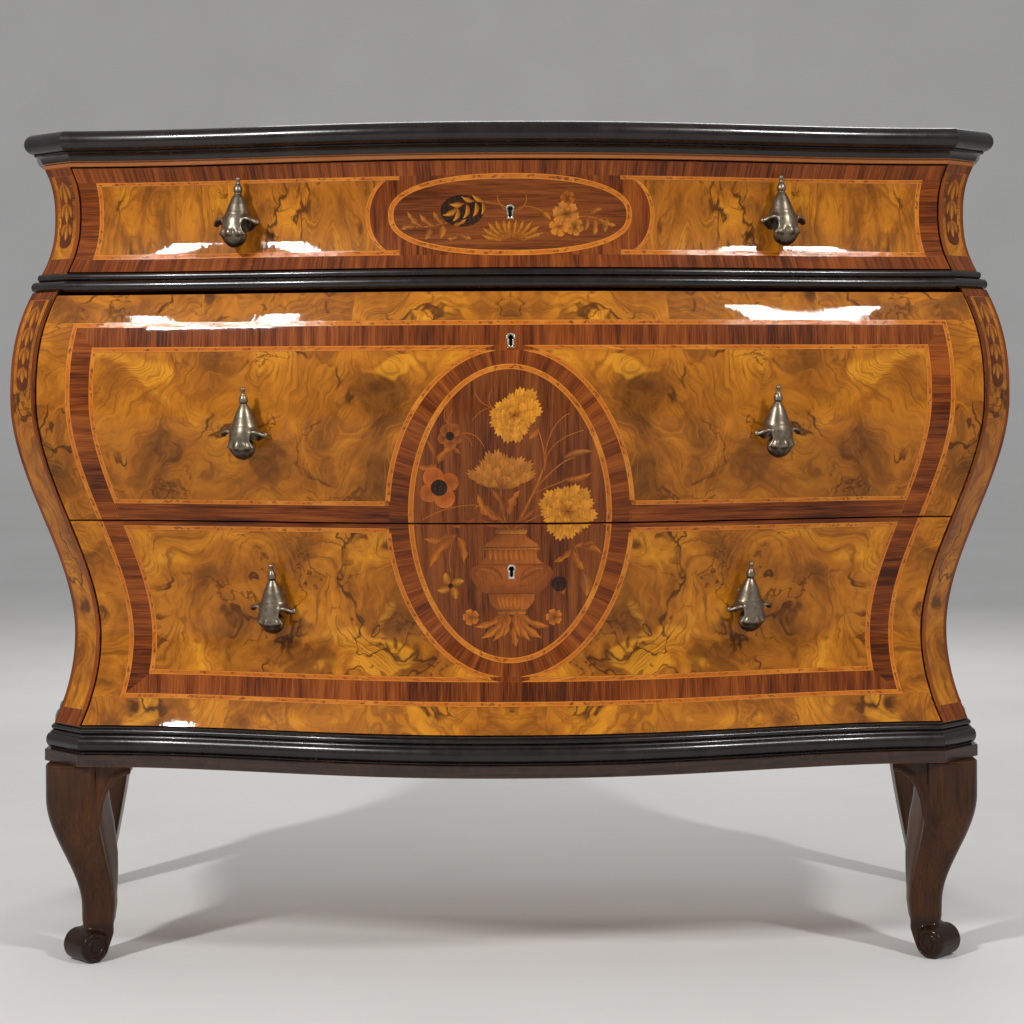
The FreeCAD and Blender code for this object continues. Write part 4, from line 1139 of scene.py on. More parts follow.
@dataclass(frozen=True)
class Keyhole:
    """Keyhole with its metal liner."""

    height: float
    eye: float = 0.0029
    slot: float = 0.0016
    drop: float = 0.0095
    wall: float = 0.0024
    proud: float = 0.0016
    depth: float = 0.006
    lap: float = 0.0003
    lip: tuple[Point, ...] = ((0.0, 0.55), (0.2, 0.9), (0.5, 1.0), (0.8, 0.85), (1.0, 0.4))

    def outline(self, wall: float) -> Array:
        """Outline of the hole, grown by a wall.

        Args:
            wall: How much it is grown.

        Returns:
            Rows of points on the face.
        """
        radius, half, foot = self.eye + wall, self.slot + wall, -(self.drop + wall)
        hip = -math.sqrt(radius ** 2 - half ** 2)
        start = math.atan2(hip, half)
        eye = oval(radius, radius, np.linspace(start, math.pi - start, 40))
        right = stack(half, np.linspace(foot, hip, 12))
        whole = np.vstack([right, eye, right[::-1] * [-1.0, 1.0], level_line(-half, half, foot, 10)])
        return whole + [0.0, self.height]

    def collar(self, plates: Plates, outline: Array, grain: Grain, shade: Optional[Shade] = None,
               lift: float = 0.0) -> None:
        """Lay a plate from an outline in to the liner."""
        inner, outer = (by_angle(edge, (0.0, self.height), full_turn(120))
                        for edge in (self.outline(self.wall - self.lap), outline))
        plates.strip(outer, inner, grain, True, shade, 0.0, lift)

    def liner(self, name: str, body: str, skin: Skin) -> None:
        """Build the rounded rim that stands for the solid liner.

        Args:
            name: Name of the solid liner.
            body: Body that it rides on.
            skin: Face that it sits in.
        """
        count = 96
        section = [(share, self.proud * rise) for share, rise in self.lip]
        section = [(0.0, -self.depth), *section, (1.0, -self.depth)]
        rings = []
        for share, height in section:
            ring = by_angle(self.outline(self.wall * share), (0.0, self.height), full_turn(count))
            rings.append(skin.at(stack(*ring.T, height)))
        mesh = closed_mesh(name + "_rim", np.concatenate(rings),
                           grid_faces(len(section), count, loop=True, wrap=True))
        piece = add_piece(name + "_rim", mesh, LINER, body)
        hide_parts(name)


# Marquetry

LIGHT = Shade((0.34, 0.088, 0.009), (0.74, 0.285, 0.022), 0.65)
MAPLE = Shade((0.34, 0.092, 0.011), (0.58, 0.195, 0.018), 0.5)
TAN = Shade((0.240, 0.066, 0.011), (0.520, 0.180, 0.022), 0.5)
LEAF = Shade((0.350, 0.088, 0.010), (0.560, 0.162, 0.014), 0.35)
TABLET = Shade((0.170, 0.0380, 0.0060), (0.120, 0.0260, 0.0045), 0.35)
DIM = Shade((0.240, 0.058, 0.009), (0.380, 0.100, 0.012), 0.35)
URN = Shade((0.310, 0.080, 0.012), (0.400, 0.110, 0.016), 0.4)
BELLY = Shade((0.350, 0.088, 0.013), (0.350, 0.088, 0.013), 0.45)
PINK = Shade((0.40, 0.088, 0.012), (0.52, 0.135, 0.017), 0.3)
DARK = Shade((0.012, 0.006, 0.004), (0.020, 0.010, 0.006), 0.1)

VASE_STEMS = (
    ((3, 524), (26, 566), (37, 596), 3.2), ((37, 592), (40, 612), (30, 640), 2.2),
    ((38, 600), (42, 628), (82, 638), 1.5), ((38, 610), (44, 648), (66, 657), 1.4),
    ((30, 575), (58, 606), (72, 607), 1.8), ((26, 566), (54, 580), (84, 588), 1.6),
    ((-3, 524), (-14, 548), (-11, 578), 2.0), ((-4, 526), (-30, 560), (-42, 549), 1.5),
    ((-33, 552), (-66, 556), (-101, 536), 1.4), ((-19, 664), (-34, 664), (-44, 649), 1.2),
    ((-19, 664), (-34, 666), (-41, 681), 1.2), ((-21, 662), (-28, 672), (-22, 683), 1.0),
    ((-57, 635), (-38, 638), (-30, 618), 1.4), ((-55, 633), (-46, 630), (-44, 620), 1.0),
    ((-72, 645), (-72, 652), (-66, 661), 1.0), ((-70, 645), (-78, 652), (-74, 662), 1.0),
    ((-83, 604), (-86, 614), (-92, 622), 1.2), ((6, 527), (30, 540), (46, 548), 1.6),
    ((72, 505), (78, 494), (80, 474), 1.4), ((-63, 519), (-74, 500), (-70, 474), 1.3))
VASE_LEAVES = (
    ((58, 605), (92, 614), 8, 0.08, 0, TAN), ((58, 582), (92, 590), 7, -0.1),
    ((-63, 519), (-101, 514), 12, 0.12, 2), ((-65, 516), (-94, 479), 14, -0.1, 2),
    ((-62, 516), (-55, 486), 12, 0.1, 2), ((69, 501), (48, 486), 9, 0.1, 2),
    ((71, 500), (84, 476), 12, -0.1, 2), ((71, 503), (104, 495), 9, 0.15),
    ((80, 505), (96, 508), 8, 0.0, 0, DIM), ((-12, 536), (-38, 566), 13, 0.15, 3),
    ((-8, 538), (-24, 572), 10, -0.12, 2, DIM), ((-2, 540), (10, 570), 11, 0.1, 3),
    ((4, 532), (26, 548), 8, -0.1, 2, DIM), ((-4, 530), (-34, 536), 9, 0.12, 2, DIM),
    ((-40, 540), (-70, 528), 8, 0.1, 2, DIM), ((-83, 600), (-62, 622), 10, 0.12, 2),
    ((-84, 600), (-106, 598), 9, 0.15, 2), ((-86, 606), (-96, 628), 7, -0.1, 0, DIM),
    ((-70, 626), (-56, 612), 8, -0.1, 2, DIM), ((30, 640), (20, 628), 9, 0.0),
    ((80, 476), (86, 444), 15, 0.08, 0, TAN), ((54, 468), (60, 446), 12, 0.0, 0, DIM))
SPRAY_STEMS = (
    ((-20, 897), (-46, 905), (-74, 884), 2.2), ((-70, 876), (-94, 868), (-123, 872), 1.8),
    ((81, 882), (100, 884), (118, 871), 1.8), ((-4, 889), (-16, 898), (-14, 907), 1.2),
    ((6, 889), (22, 894), (18, 908), 1.2), ((9, 892), (24, 898), (40, 886), 1.6),
    ((-20, 897), (-10, 897), (-5, 893), 1.4), ((40, 886), (60, 884), (82, 882), 1.6))
SPRAY_LEAVES = (
    ((-28, 899), (-44, 908), 6, 0.1, 1, LIGHT), ((-40, 900), (-56, 906), 6, 0.1, 1, LIGHT),
    ((-52, 898), (-70, 897), 7, 0.1, 1, LIGHT), ((-60, 892), (-78, 884), 7, 0.1, 1, LIGHT),
    ((-40, 899), (-43, 882), 5, 0.2, 0, LIGHT), ((-50, 897), (-54, 880), 5, 0.2, 0, LIGHT),
    ((-60, 892), (-66, 877), 5, 0.2, 0, LIGHT), ((-32, 899), (-33, 884), 4, 0.15, 0, LIGHT),
    ((-66, 872), (-50, 880), 6, -0.1, 2, MAPLE), ((-74, 873), (-88, 889), 8, 0.1, 2, TAN),
    ((-84, 871), (-104, 886), 9, 0.1, 2, TAN), ((-98, 870), (-118, 889), 9, 0.1, 3, TAN),
    ((-108, 871), (-126, 868), 9, -0.1, 2, TAN), ((-92, 870), (-98, 856), 10, 0.1, 2, TAN),
    ((-78, 873), (-80, 857), 8, 0.1, 0, MAPLE), ((-60, 861), (-72, 857), 8, 0.1, 2, TAN),
    ((-58, 862), (-44, 857), 8, -0.1, 2, TAN), ((92, 883), (106, 891), 8, 0.1, 2, TAN),
    ((100, 880), (122, 872), 11, -0.08, 3, MAPLE), ((96, 880), (96, 860), 9, 0.1, 2, MAPLE),
    ((88, 882), (86, 866), 6, 0.1, 0, TAN), ((108, 877), (108, 864), 7, 0.1, 0, TAN),
    ((36, 887), (46, 878), 7, 0.1, 0, MAPLE), ((46, 884), (60, 872), 8, 0.1, 2, TAN))


def polar(centre: Point, reach: float, degrees: float) -> Point:
    """Point at a distance and an angle from another one."""
    turn = math.radians(degrees)
    return centre[0] + reach * math.cos(turn), centre[1] + reach * math.sin(turn)


def sideways(spine: Array, half: Array) -> Array:
    """Steps of given lengths from the points of a line to its left."""
    slope = np.gradient(spine, axis=0)
    return stack(-slope[:, 1], slope[:, 0]) / np.linalg.norm(slope, axis=1, keepdims=True) * half[:, None]


@dataclass
class Marquetry:
    """Floral inlay drawn piece by piece onto plates, in millimetres on the face."""

    plates: Plates
    layer: int = 0

    @property
    def lift(self) -> float:
        """Height of the next piece: that of its layer, and a hair more than the one before."""
        return LAYER_STEP * self.layer + PIECE_STEP * self.plates.laid

    def lay(self, first: Array, second: Array, shade: Shade, closed: bool = False) -> None:
        """Lay one piece, a hair over the one before."""
        leaf = 0.31 * self.plates.laid
        self.plates.strip(first * MM, second * MM, Grain.UPRIGHT, closed, shade, leaf, self.lift)

    def leaf(self, root: Point, tip: Point, width: float, bend: float = 0.0, lobes: int = 0,
             shade: Shade = LEAF) -> None:
        """Leaf with a curved spine, in two halves unless it is narrow.

        Args:
            root: Where it starts.
            tip: Where it ends.
            width: Its widest.
            bend: Sideways bend, as a share of its length.
            lobes: Number of lobes along each edge.
            shade: Its colours.
        """
        narrow = 6.0
        t = np.linspace(0.0, 1.0, 13 + 8 * lobes)
        reach = np.array(tip, float) - np.array(root, float)
        bow = (4.0 * bend * t * (1.0 - t))[:, None] * np.array([-reach[1], reach[0]])
        spine = np.array(root, float) + t[:, None] * reach + bow
        half = 0.5 * width * np.sin(np.pi * t ** 0.85) ** 0.9
        if lobes:
            half = half * (1.0 - 0.5 * (0.5 + 0.5 * np.cos(2.0 * np.pi * lobes * t)))
        half[[0, -1]] = 0.0
        step = sideways(spine, half)
        if width < narrow:
            self.lay(spine + step, spine - step, shade)
            return
        for lean, tone in ((1.0, shade), (-1.0, shade.dimmed(0.72))):
            self.lay(spine + lean * step, spine, tone)

    def stem(self, root: Point, through: Point, tip: Point, width: float, shade: Shade = LEAF) -> None:
        """Thin stem through three points, tapering to its tip.

        Args:
            root: Where it starts.
            through: Point that it bends towards.
            tip: Where it ends.
            width: Width at its root.
            shade: Its colours.
        """
        t = np.linspace(0.0, 1.0, 14)[:, None]
        a, b, c = (np.array(point, float) for point in (root, through, tip))
        spine = a * (1.0 - t) ** 2 + 2.0 * b * t * (1.0 - t) + c * t ** 2
        step = sideways(spine, 0.5 * width * (1.0 - 0.6 * t[:, 0]))
        self.lay(spine + step, spine - step, shade)

    def frill(self, centre: Point, radius: float, petals: int, teeth: int, shade: Shade, start: float = 0.0,
              sweep: float = 360.0, inner: float = 0.0) -> None:
        """Ring or fan of toothed petals.

        Args:
            centre: Its middle.
            radius: Its reach.
            petals: Number of petals.
            teeth: Teeth on each petal.
            shade: Its colours.
            start: First angle, in degrees.
            sweep: How far it goes round, in degrees.
            inner: Radius of the open middle.
        """
        closed = sweep > 359.0
        share = np.linspace(0.0, 1.0, petals * max(teeth, 3) * 4 + 1)
        if closed:
            share = share[:-1]
        turn = np.radians(start + sweep * share)
        rim = 1.0 - 0.20 * (1.0 - np.abs(np.sin(np.pi * petals * share))) ** 1.5
        rim = rim - 0.10 * np.abs(2.0 * ((petals * teeth * share) % 1.0) - 1.0)
        ring = stack(np.cos(turn), np.sin(turn))
        middle = np.array(centre, float)
        outer = middle + ring * (radius * rim)[:, None]
        self.lay(middle + inner * ring, outer, shade.petalled(petals), closed)

    def disc(self, centre: Point, radius: float, shade: Shade, squash: float = 1.0) -> None:
        """Plain round piece."""
        ring = oval(radius, radius * squash, full_turn(24), centre)
        self.lay(np.tile(np.array(centre, float), (24, 1)), ring, shade, True)

    def flower(self, centre: Point, radius: float, petals: int, shade: Shade, start: float,
               eye: float) -> None:
        """Open flower with rounded petals and a dark eye.

        Args:
            centre: Its middle.
            radius: Its reach.
            petals: Number of petals.
            shade: Colours of the petals.
            start: Angle of the first petal, in degrees.
            eye: Radius of the eye.
        """
        self.layer = 2
        for k in range(petals):
            odd = k % 2
            middle = polar(centre, 0.58 * radius, start + 360.0 * k / petals)
            self.disc(middle, (0.46 + 0.06 * odd) * radius, shade.dimmed(0.85 + 0.15 * odd))
        self.layer = 5
        self.disc(centre, eye, DARK)
        self.layer = 1

    def blossom(self, centre: Point, radius: float, petals: int, shade: Shade, start: float) -> None:
        """Small flower with narrow pointed petals.

        Args:
            centre: Its middle.
            radius: Its reach.
            petals: Number of petals.
            shade: Colours of the petals.
            start: Angle of the first petal, in degrees.
        """
        for k in range(petals):
            tip = polar(centre, radius, start + 360.0 * k / petals)
            self.leaf(centre, tip, 0.62 * radius, 0.08, 0, shade)
        self.layer = 3
        self.disc(centre, 0.18 * radius, DARK)
        self.layer = 1

    def carnation(self, centre: Point, radius: float, shade: Shade, start: float, sweep: float = 360.0,
                  stretch: float = 0.0) -> None:
        """Carnation of four rings of ragged petals.

        Args:
            centre: Its middle.
            radius: Its reach.
            shade: Its colours.
            start: First angle, in degrees.
            sweep: How far it goes round, in degrees.
            stretch: How much longer it is towards the upper right and lower left.
        """
        self.layer = 2
        for ring, (share, petals) in enumerate(((1.0, 15), (0.80, 12), (0.58, 9), (0.36, 6))):
            count = max(4, round(petals * (0.4 + 0.6 * sweep / 360.0)))
            spread = 1.35 * sweep / count
            for k in range(count):
                stray = math.sin(12.9 * k + 5.1 * ring + centre[0])
                turn = start + sweep * (k + 0.5 + 0.22 * stray) / count
                reach = radius * share * (0.94 + 0.09 * math.sin(7.7 * k + 2.3 * ring))
                reach *= 1.0 + stretch * math.cos(2.0 * math.radians(turn - 50.0))
                tone = shade.dimmed(0.86 + 0.14 * math.sin(4.1 * k + ring))
                self.frill(centre, reach, 1, 4, tone, turn - 0.5 * spread, spread, 0.10 * reach)
            self.layer += 1

    def turned(self, rows: Sequence[Point], shade: Shade) -> None:
        """Piece of the urn, by heights and half widths from the top down."""
        height, half = np.array(rows, float).T
        self.lay(stack(-half, height), stack(half, height), shade)

    def belly(self, rows: Sequence[Point], hole: Keyhole) -> None:
        """Belly of the urn, laid only on the drawer with its keyhole in it.

        Args:
            rows: Height and half width from the top down.
            hole: Keyhole of the drawer.
        """
        if not rows[-1][0] < hole.height / MM < rows[0][0]:
            return
        height, half = resample(np.array(rows, float), np.linspace(0.0, len(rows) - 1.0, 60)).T
        lid = np.linspace(-1.0, 1.0, 30)[1:-1]
        outline = [stack(-half, height), stack(half, height), stack(lid * half[0], height[0]),
                   stack(lid * half[-1], height[-1])]
        hole.collar(self.plates, np.vstack(outline) * MM, Grain.UPRIGHT, BELLY, self.lift)

    def vase(self, hole: Keyhole) -> None:
        """Urn of flowers of the large oval.

        Args:
            hole: Keyhole of the drawer that it is laid on.
        """
        for row in VASE_STEMS:
            self.stem(*row)
        self.layer = 1
        for row in VASE_LEAVES:
            self.leaf(*row)
        self.layer = 2
        self.carnation((-11, 571), 47, TAN, 17, 146)
        self.carnation((4, 655), 31, LIGHT, 20, 360, 0.17)
        self.carnation((64, 545), 35, LIGHT, 5)
        self.flower((-82, 573), 23, 4, PINK, 28, 9.5)
        self.flower((-69, 632), 14, 5, DIM, 200, 5)
        self.blossom((-70, 458), 17, 4, LIGHT, 20)
        self.disc((55, 460), 9, DARK)
        self.layer = 2
        self.turned(((525, 17), (522, 18.5), (519, 16)), TAN)
        self.turned(((518.4, 16), (516, 17.5), (512, 23), (508, 28.5), (505, 31), (504, 31.4)), URN)
        self.turned(((503.4, 32), (502, 32.5), (500.6, 32)), TAN)
        self.turned(((500, 30), (496, 29), (491, 29.5), (487, 33), (484, 38)), URN)
        self.belly(((483.5, 38), (481.5, 43), (478, 46.5), (473, 47.5), (467, 46), (461, 43), (455, 39),
                    (449, 31)), hole)
        self.turned(((448.4, 27), (442, 26), (436, 23.5), (430, 17)), URN)
        self.turned(((429.5, 15), (427, 17), (424.5, 15)), TAN)
        self.layer = 3
        for side in SIDES:
            self.stem((side * 8, 458), (side * 30, 455), (side * 41, 474), 2.4, DIM)
            self.leaf((side * 10, 464), (side * 38, 478), 9, side * 0.16, 0, URN)
        for k in range(9):
            self.leaf((-24 + 6 * k, 502), (-24 + 6 * k, 488), 4.0, 0.0, 0, LEAF)
        for k in range(7):
            self.leaf((-15 + 5 * k, 447), (-12 + 4 * k, 432), 4.0, 0.0, 0, LEAF)
        for reach, drop, width in ((44, 410, 11), (36, 396, 12), (22, 393, 11), (10, 398, 9)):
            for side in SIDES:
                self.leaf((side * 5, 427), (side * reach, drop), width, side * -0.1, 2, LEAF)
        self.leaf((1, 410), (5, 386), 11, 0.0, 2, LEAF)
        for x in (-47, 49):
            self.frill((x, 421), 10, 5, 2, LEAF)

    def spray(self) -> None:
        """Spray of leaves and flowers of the top drawer's oval."""
        self.disc((-55, 889), 25, DARK, 0.74)
        for row in SPRAY_STEMS:
            self.stem(*row, MAPLE)
        self.layer = 2
        for row in SPRAY_LEAVES:
            self.leaf(*row)
        for angle, reach in ((172, 34), (156, 36), (140, 35), (125, 31), (108, 27), (93, 25),
                             (77, 26), (60, 29), (44, 34), (28, 38), (12, 38)):
            turn = math.radians(angle)
            tip = (1 + reach * math.cos(turn), 857 + 0.85 * reach * math.sin(turn))
            self.leaf((1 + 5 * math.cos(turn), 856), tip, 8.5, 0.06 if angle > 90 else -0.06, 2, MAPLE)
        self.layer = 3
        for centre, radius, shade in (((64, 885), 16, TAN), ((56, 870), 12, MAPLE), ((66, 903), 9, DIM),
                                      ((74, 870), 11, TAN)):
            self.frill(centre, radius, 6, 3, shade, 15.0)
            self.frill(centre, radius * 0.55, 5, 2, shade, 40.0)

    def husks(self, across: float, top: float, count: int) -> None:
        """Bell-flower husks that hang one under the other on a dark tablet.

        Args:
            across: Middle of the run, across the face.
            top: Height of the first husk's root.
            count: How many there are.
        """
        foot = top - 21.0 * count - 14.0
        height = np.append(np.linspace(top + 8.0, foot + 10.0, 20), foot + np.array([5.6, 2.4, 0.5, 0.0]))
        half = np.append(np.full(20, 12.0), [11.2, 8.6, 4.6, 0.1])
        self.layer = 0
        self.lay(stack(across - half, height), stack(across + half, height), TABLET)
        for k in range(count):
            size, root = 26.0 - 3.0 * k, (across, top - 24.0 * k)
            self.layer = 1
            for side in SIDES:
                self.leaf(root, (across + side * 8.5, root[1] - 0.72 * size), 8.0, side * 0.18, 0, MAPLE)
            self.layer = 2
            self.leaf(root, (across, root[1] - size), 10.0, 0.0, 0, LIGHT)
            self.disc(root, 2.2, MAPLE)


# Drawers

@dataclass
class DrawerFace:
    """Veneered face of one drawer, with its keyhole liner."""

    name: str
    low: float
    high: float
    keyhole: Keyhole
    figure: Finish = BURL
    cut: bool = False
    edge_gap: float = 0.0003

    def build(self) -> None:
        """Lay all veneers and the liner."""
        skin = FrontSkin(self.low, self.high)
        clip = (self.low + self.edge_gap, self.high - self.edge_gap) if self.cut else None
        wood = Veneers(self.name, self.name, skin, self.figure, clip)
        self.keyhole.liner(self.name + "_escutcheon", self.name, skin)
        self.veneer(wood)
        wood.build()

    def veneer(self, wood: Veneers) -> None:
        """Lay the veneers."""
        raise NotImplementedError


@dataclass
class TopDrawerFace(DrawerFace):
    """Top drawer: crossband border, two burl fields with hollow ends, and an oval with a spray."""

    figure: Finish = FLAME
    head_band: float = 0.9295
    head_string: float = 0.9250
    foot_string: float = 0.8440
    foot_band: float = 0.8380
    end_inset: float = 0.0215
    field_split: float = 0.330
    string: float = 0.0055
    barrel_half: float = 0.1250
    barrel_bulge: float = 0.0365
    barrel_lap: float = 0.002
    oval_centre: Point = (0.0, 0.8845)
    oval_size: Point = (0.1405, 0.0475)
    oval_string: float = 0.0066
    oval_power: float = 2.35

    def barrel(self, z: Array) -> Array:
        """Half width of the middle field at a height."""
        share = (z - self.oval_centre[1]) / (0.5 * (self.head_band - self.foot_band))
        return self.barrel_half + self.barrel_bulge * np.sqrt(np.clip(1.0 - share ** 2, 0.0, 1.0))

    def veneer(self, wood: Veneers) -> None:
        """Lay the veneers.

        Args:
            wood: Where they go.
        """
        rise = np.linspace(self.foot_band, self.head_band, 25)
        head = np.linspace(-1.0, 1.0, 41)
        for edges in ((self.high, self.head_band), (self.low, self.foot_band)):
            wood.band.strip(*[stack(head * FORM.edge(z), z) for z in edges])
        for side in SIDES:
            stop = stack(side * (FORM.edge(rise) - self.end_inset), rise)
            seam = stack(side * self.field_split, rise)
            bow = stack(side * self.barrel(rise), rise)
            wood.band.strip(stack(side * FORM.edge(rise), rise), stop)
            wood.burl.strip(stop, seam, Grain.MATCHED, leaf=0.9)
            wood.burl.strip(seam, bow, Grain.MATCHED, leaf=1.6)
            wood.string.strip(stop, stop - [side * self.string, 0.0], Grain.STRING)
            wood.string.strip(bow + [side * self.string, 0.0], bow, Grain.STRING)
            reach = side * (self.barrel_half + self.barrel_lap)
            for edges in ((self.head_band, self.head_string), (self.foot_string, self.foot_band)):
                lines = [level_line(side * (FORM.edge(z) - self.end_inset), reach, z, 25) for z in edges]
                wood.string.strip(*lines, Grain.STRING)
        self.middle(wood, rise)
        Marquetry(wood.inlay).spray()

    def middle(self, wood: Veneers, rise: Array) -> None:
        """Lay the middle field and its oval.

        Args:
            wood: Where they go.
            rise: Heights of the field.
        """
        turns = full_turn(144) - 0.5 * np.pi
        a, b = self.oval_size
        outer = oval(a, b, turns, self.oval_centre, self.oval_power)
        inner = oval(a - self.oval_string, b - self.oval_string, turns, self.oval_centre, self.oval_power)
        half = self.barrel(rise)
        lid = np.linspace(-1.0, 1.0, 40)[1:-1]
        outline = np.vstack([stack(half, rise), stack(-lid * half[-1], rise[-1]),
                             stack(-half[::-1], rise[::-1]), stack(lid * half[0], rise[0])])
        angles = np.arctan2(outer[:, 1] - self.oval_centre[1], outer[:, 0])
        border = 0.5 * (outer + inner)
        wood.band.strip(by_angle(outline, self.oval_centre, angles), border, Grain.UPRIGHT, True, leaf=0.0)
        wood.string.strip(outer, inner, Grain.STRING, True)
        self.keyhole.collar(wood.ground, border, Grain.LEVEL)


@dataclass
class FramedDrawerFace(DrawerFace):
    """Middle or bottom drawer: burl border, crossband frame, two fields and half of the large oval.

    The levels run from the outer string's outer edge to the inner edge of the string beside the joint.
    """

    cut: bool = True
    levels: tuple[float, ...] = ()
    frame_lines: tuple[float, ...] = (0.033, 0.0388, 0.0612, 0.0670)
    oval_centre: Point = (-0.0015, 0.5405)
    oval_sizes: tuple[Point, ...] = ((0.1430, 0.1950), (0.1370, 0.1890), (0.1165, 0.1730), (0.1100, 0.1665))
    lap: float = 0.003
    oval_lap: float = 0.002
    joint_lap: float = 0.001
    corner_ease: float = 0.002
    lock_half: float = 0.013
    bridge_lap: float = 0.012
    border_cut: float = 0.02
    border_leaves: int = 3
    leaf: float = 0.0
    spots: tuple[Spot, ...] = ()

    @property
    def upper(self) -> bool:
        """Whether its joint with the other framed drawer is at its foot."""
        return self.levels[0] > self.levels[-1]

    @property
    def outer(self) -> float:
        """The edge away from the joint."""
        return self.high if self.upper else self.low

    @property
    def joint(self) -> float:
        """The edge beside the other framed drawer."""
        return self.low if self.upper else self.high

    def rail(self, inset: float, start: float, end: float, side: int, count: int = 30) -> Array:
        """Line between two heights that keeps a distance from the drawer's end."""
        z = np.linspace(start, end, count)
        return stack(side * (FORM.edge(z) - inset), z)

    def oval_reach(self, which: int, z: Array, side: int) -> Array:
        """X of an oval's edge.

        Args:
            which: Number of the oval.
            z: Heights.
            side: Which side.

        Returns:
            Places across.
        """
        half_width, half_height = self.oval_sizes[which]
        share = np.clip(1.0 - ((z - self.oval_centre[1]) / half_height) ** 2, 0.0, 1.0)
        return self.oval_centre[0] + side * half_width * np.sqrt(share)

    def arc(self, size: Point, count: int = 90) -> Array:
        """Part of an oval in this drawer, held to the inner edge of the frame.

        Args:
            size: Half width and half height.
            count: Number of points.

        Returns:
            Rows of points from the right to the left.
        """
        start = math.asin((self.joint - self.oval_centre[1]) / size[1])
        end = math.pi if self.upper else -math.pi
        line = oval(*size, np.linspace(start, end - start, count), self.oval_centre)
        held = np.minimum if self.upper else np.maximum
        line[:, 1] = held(line[:, 1], self.levels[3])
        return line

    def veneer(self, wood: Veneers) -> None:
        """Lay the veneers.

        Args:
            wood: Where they go.
        """
        for side in SIDES:
            self.border(wood.burl, side)
            self.field(wood.burl, side)
            self.frame(wood.band, side)
            self.strings(wood.string, side)
        wood.burl.stain(self.spots)
        self.large_oval(wood)
        Marquetry(wood.inlay).vase(self.keyhole)

    def border(self, burl: Plates, side: int) -> None:
        """Lay the burl border of one half.

        Args:
            burl: Burl plates.
            side: Which half.
        """
        under = self.levels[0] + math.copysign(self.lap, self.levels[1] - self.levels[0])
        shares = np.linspace(0.0, 1.0, self.border_leaves + 1)
        for k, (start, end) in enumerate(zip(shares, shares[1:])):
            row = np.linspace(start, end, 12)
            burl.strip(stack(side * row * FORM.edge(self.outer), self.outer),
                       stack(side * row * (FORM.edge(under) - self.corner_ease * (row == 1.0)), under),
                       Grain.MATCHED, leaf=self.leaf + 1.7 + 0.83 * k)
        cut = 0.5 * (self.levels[0] + self.joint) + self.border_cut
        for k, (start, end) in enumerate(((self.levels[0], cut), (cut, self.joint))):
            lines = [self.rail(inset, start, end, side) for inset in (0.0, self.frame_lines[0] + self.lap)]
            burl.strip(*lines, Grain.MATCHED, leaf=self.leaf + 6.1 + 1.3 * k)

    def field(self, burl: Plates, side: int) -> None:
        """Lay the burl field of one half.

        Args:
            burl: Burl plates.
            side: Which half.
        """
        start, end = 0.5 * (self.levels[2] + self.levels[3]), 0.5 * (self.levels[4] + self.levels[5])
        inset = 0.5 * (self.frame_lines[2] + self.frame_lines[3])
        z = np.linspace(start, end, 48)
        inner = stack(self.oval_reach(0, z, side) - side * self.lap, z)
        burl.strip(self.rail(inset, start, end, side, 48), inner, Grain.MATCHED, leaf=self.leaf)

    def frame(self, band: Plates, side: int) -> None:
        """Lay the crossband frame of one half.

        Args:
            band: Crossband plates.
            side: Which half.
        """
        _, outer, inner, string, _, beside = self.levels
        _, line_out, line_in, _ = self.frame_lines
        gap = self.lock_half if self.upper else 0.0
        row = np.linspace(0.0, 1.0, 30)
        band.strip(*[stack(side * (gap + row * (FORM.edge(z) - line - gap)), z)
                     for z, line in ((outer, line_out), (inner, line_in))], Grain.UPRIGHT)
        band.strip(self.rail(line_out, outer, self.joint, side), self.rail(line_in, inner, self.joint, side),
                   Grain.LEVEL)
        end = line_in + self.joint_lap
        band.strip(*[level_line(side * (FORM.edge(z) - end), self.oval_reach(1, z, side), z, 20)
                     for z in (beside, self.joint)], Grain.RUN)
        bridge = self.oval_reach(1, string, side) + side * self.bridge_lap
        band.strip(*[level_line(side * gap, bridge, z, 6) for z in (inner, string)])

    def strings(self, string: Plates, side: int) -> None:
        """Lay the strings of one half.

        Args:
            string: String plates.
            side: Which half.
        """
        s1, b1, b0, s0, j1, j0 = self.levels
        d1, d2, d3, d4 = self.frame_lines
        string.strip(*[level_line(0.0, side * (FORM.edge(z) - d), z, 30) for z, d in ((s1, d1), (b1, d2))],
                     Grain.STRING)
        string.strip(self.rail(d1, s1, self.joint, side), self.rail(d2, b1, self.joint, side), Grain.STRING)
        string.strip(self.rail(d3, b0, j0, side), self.rail(d4, s0, j1, side), Grain.STRING)
        for pair in ((b0, s0), (j0, j1)):
            string.strip(*[level_line(side * (FORM.edge(z) - d), self.oval_reach(0, z, side), z, 30)
                           for z, d in zip(pair, (d3, d4))], Grain.STRING)
        z = np.linspace(s0, j1, 40)
        string.strip(*[stack(self.oval_reach(which, z, side), z) for which in (0, 1)], Grain.STRING)

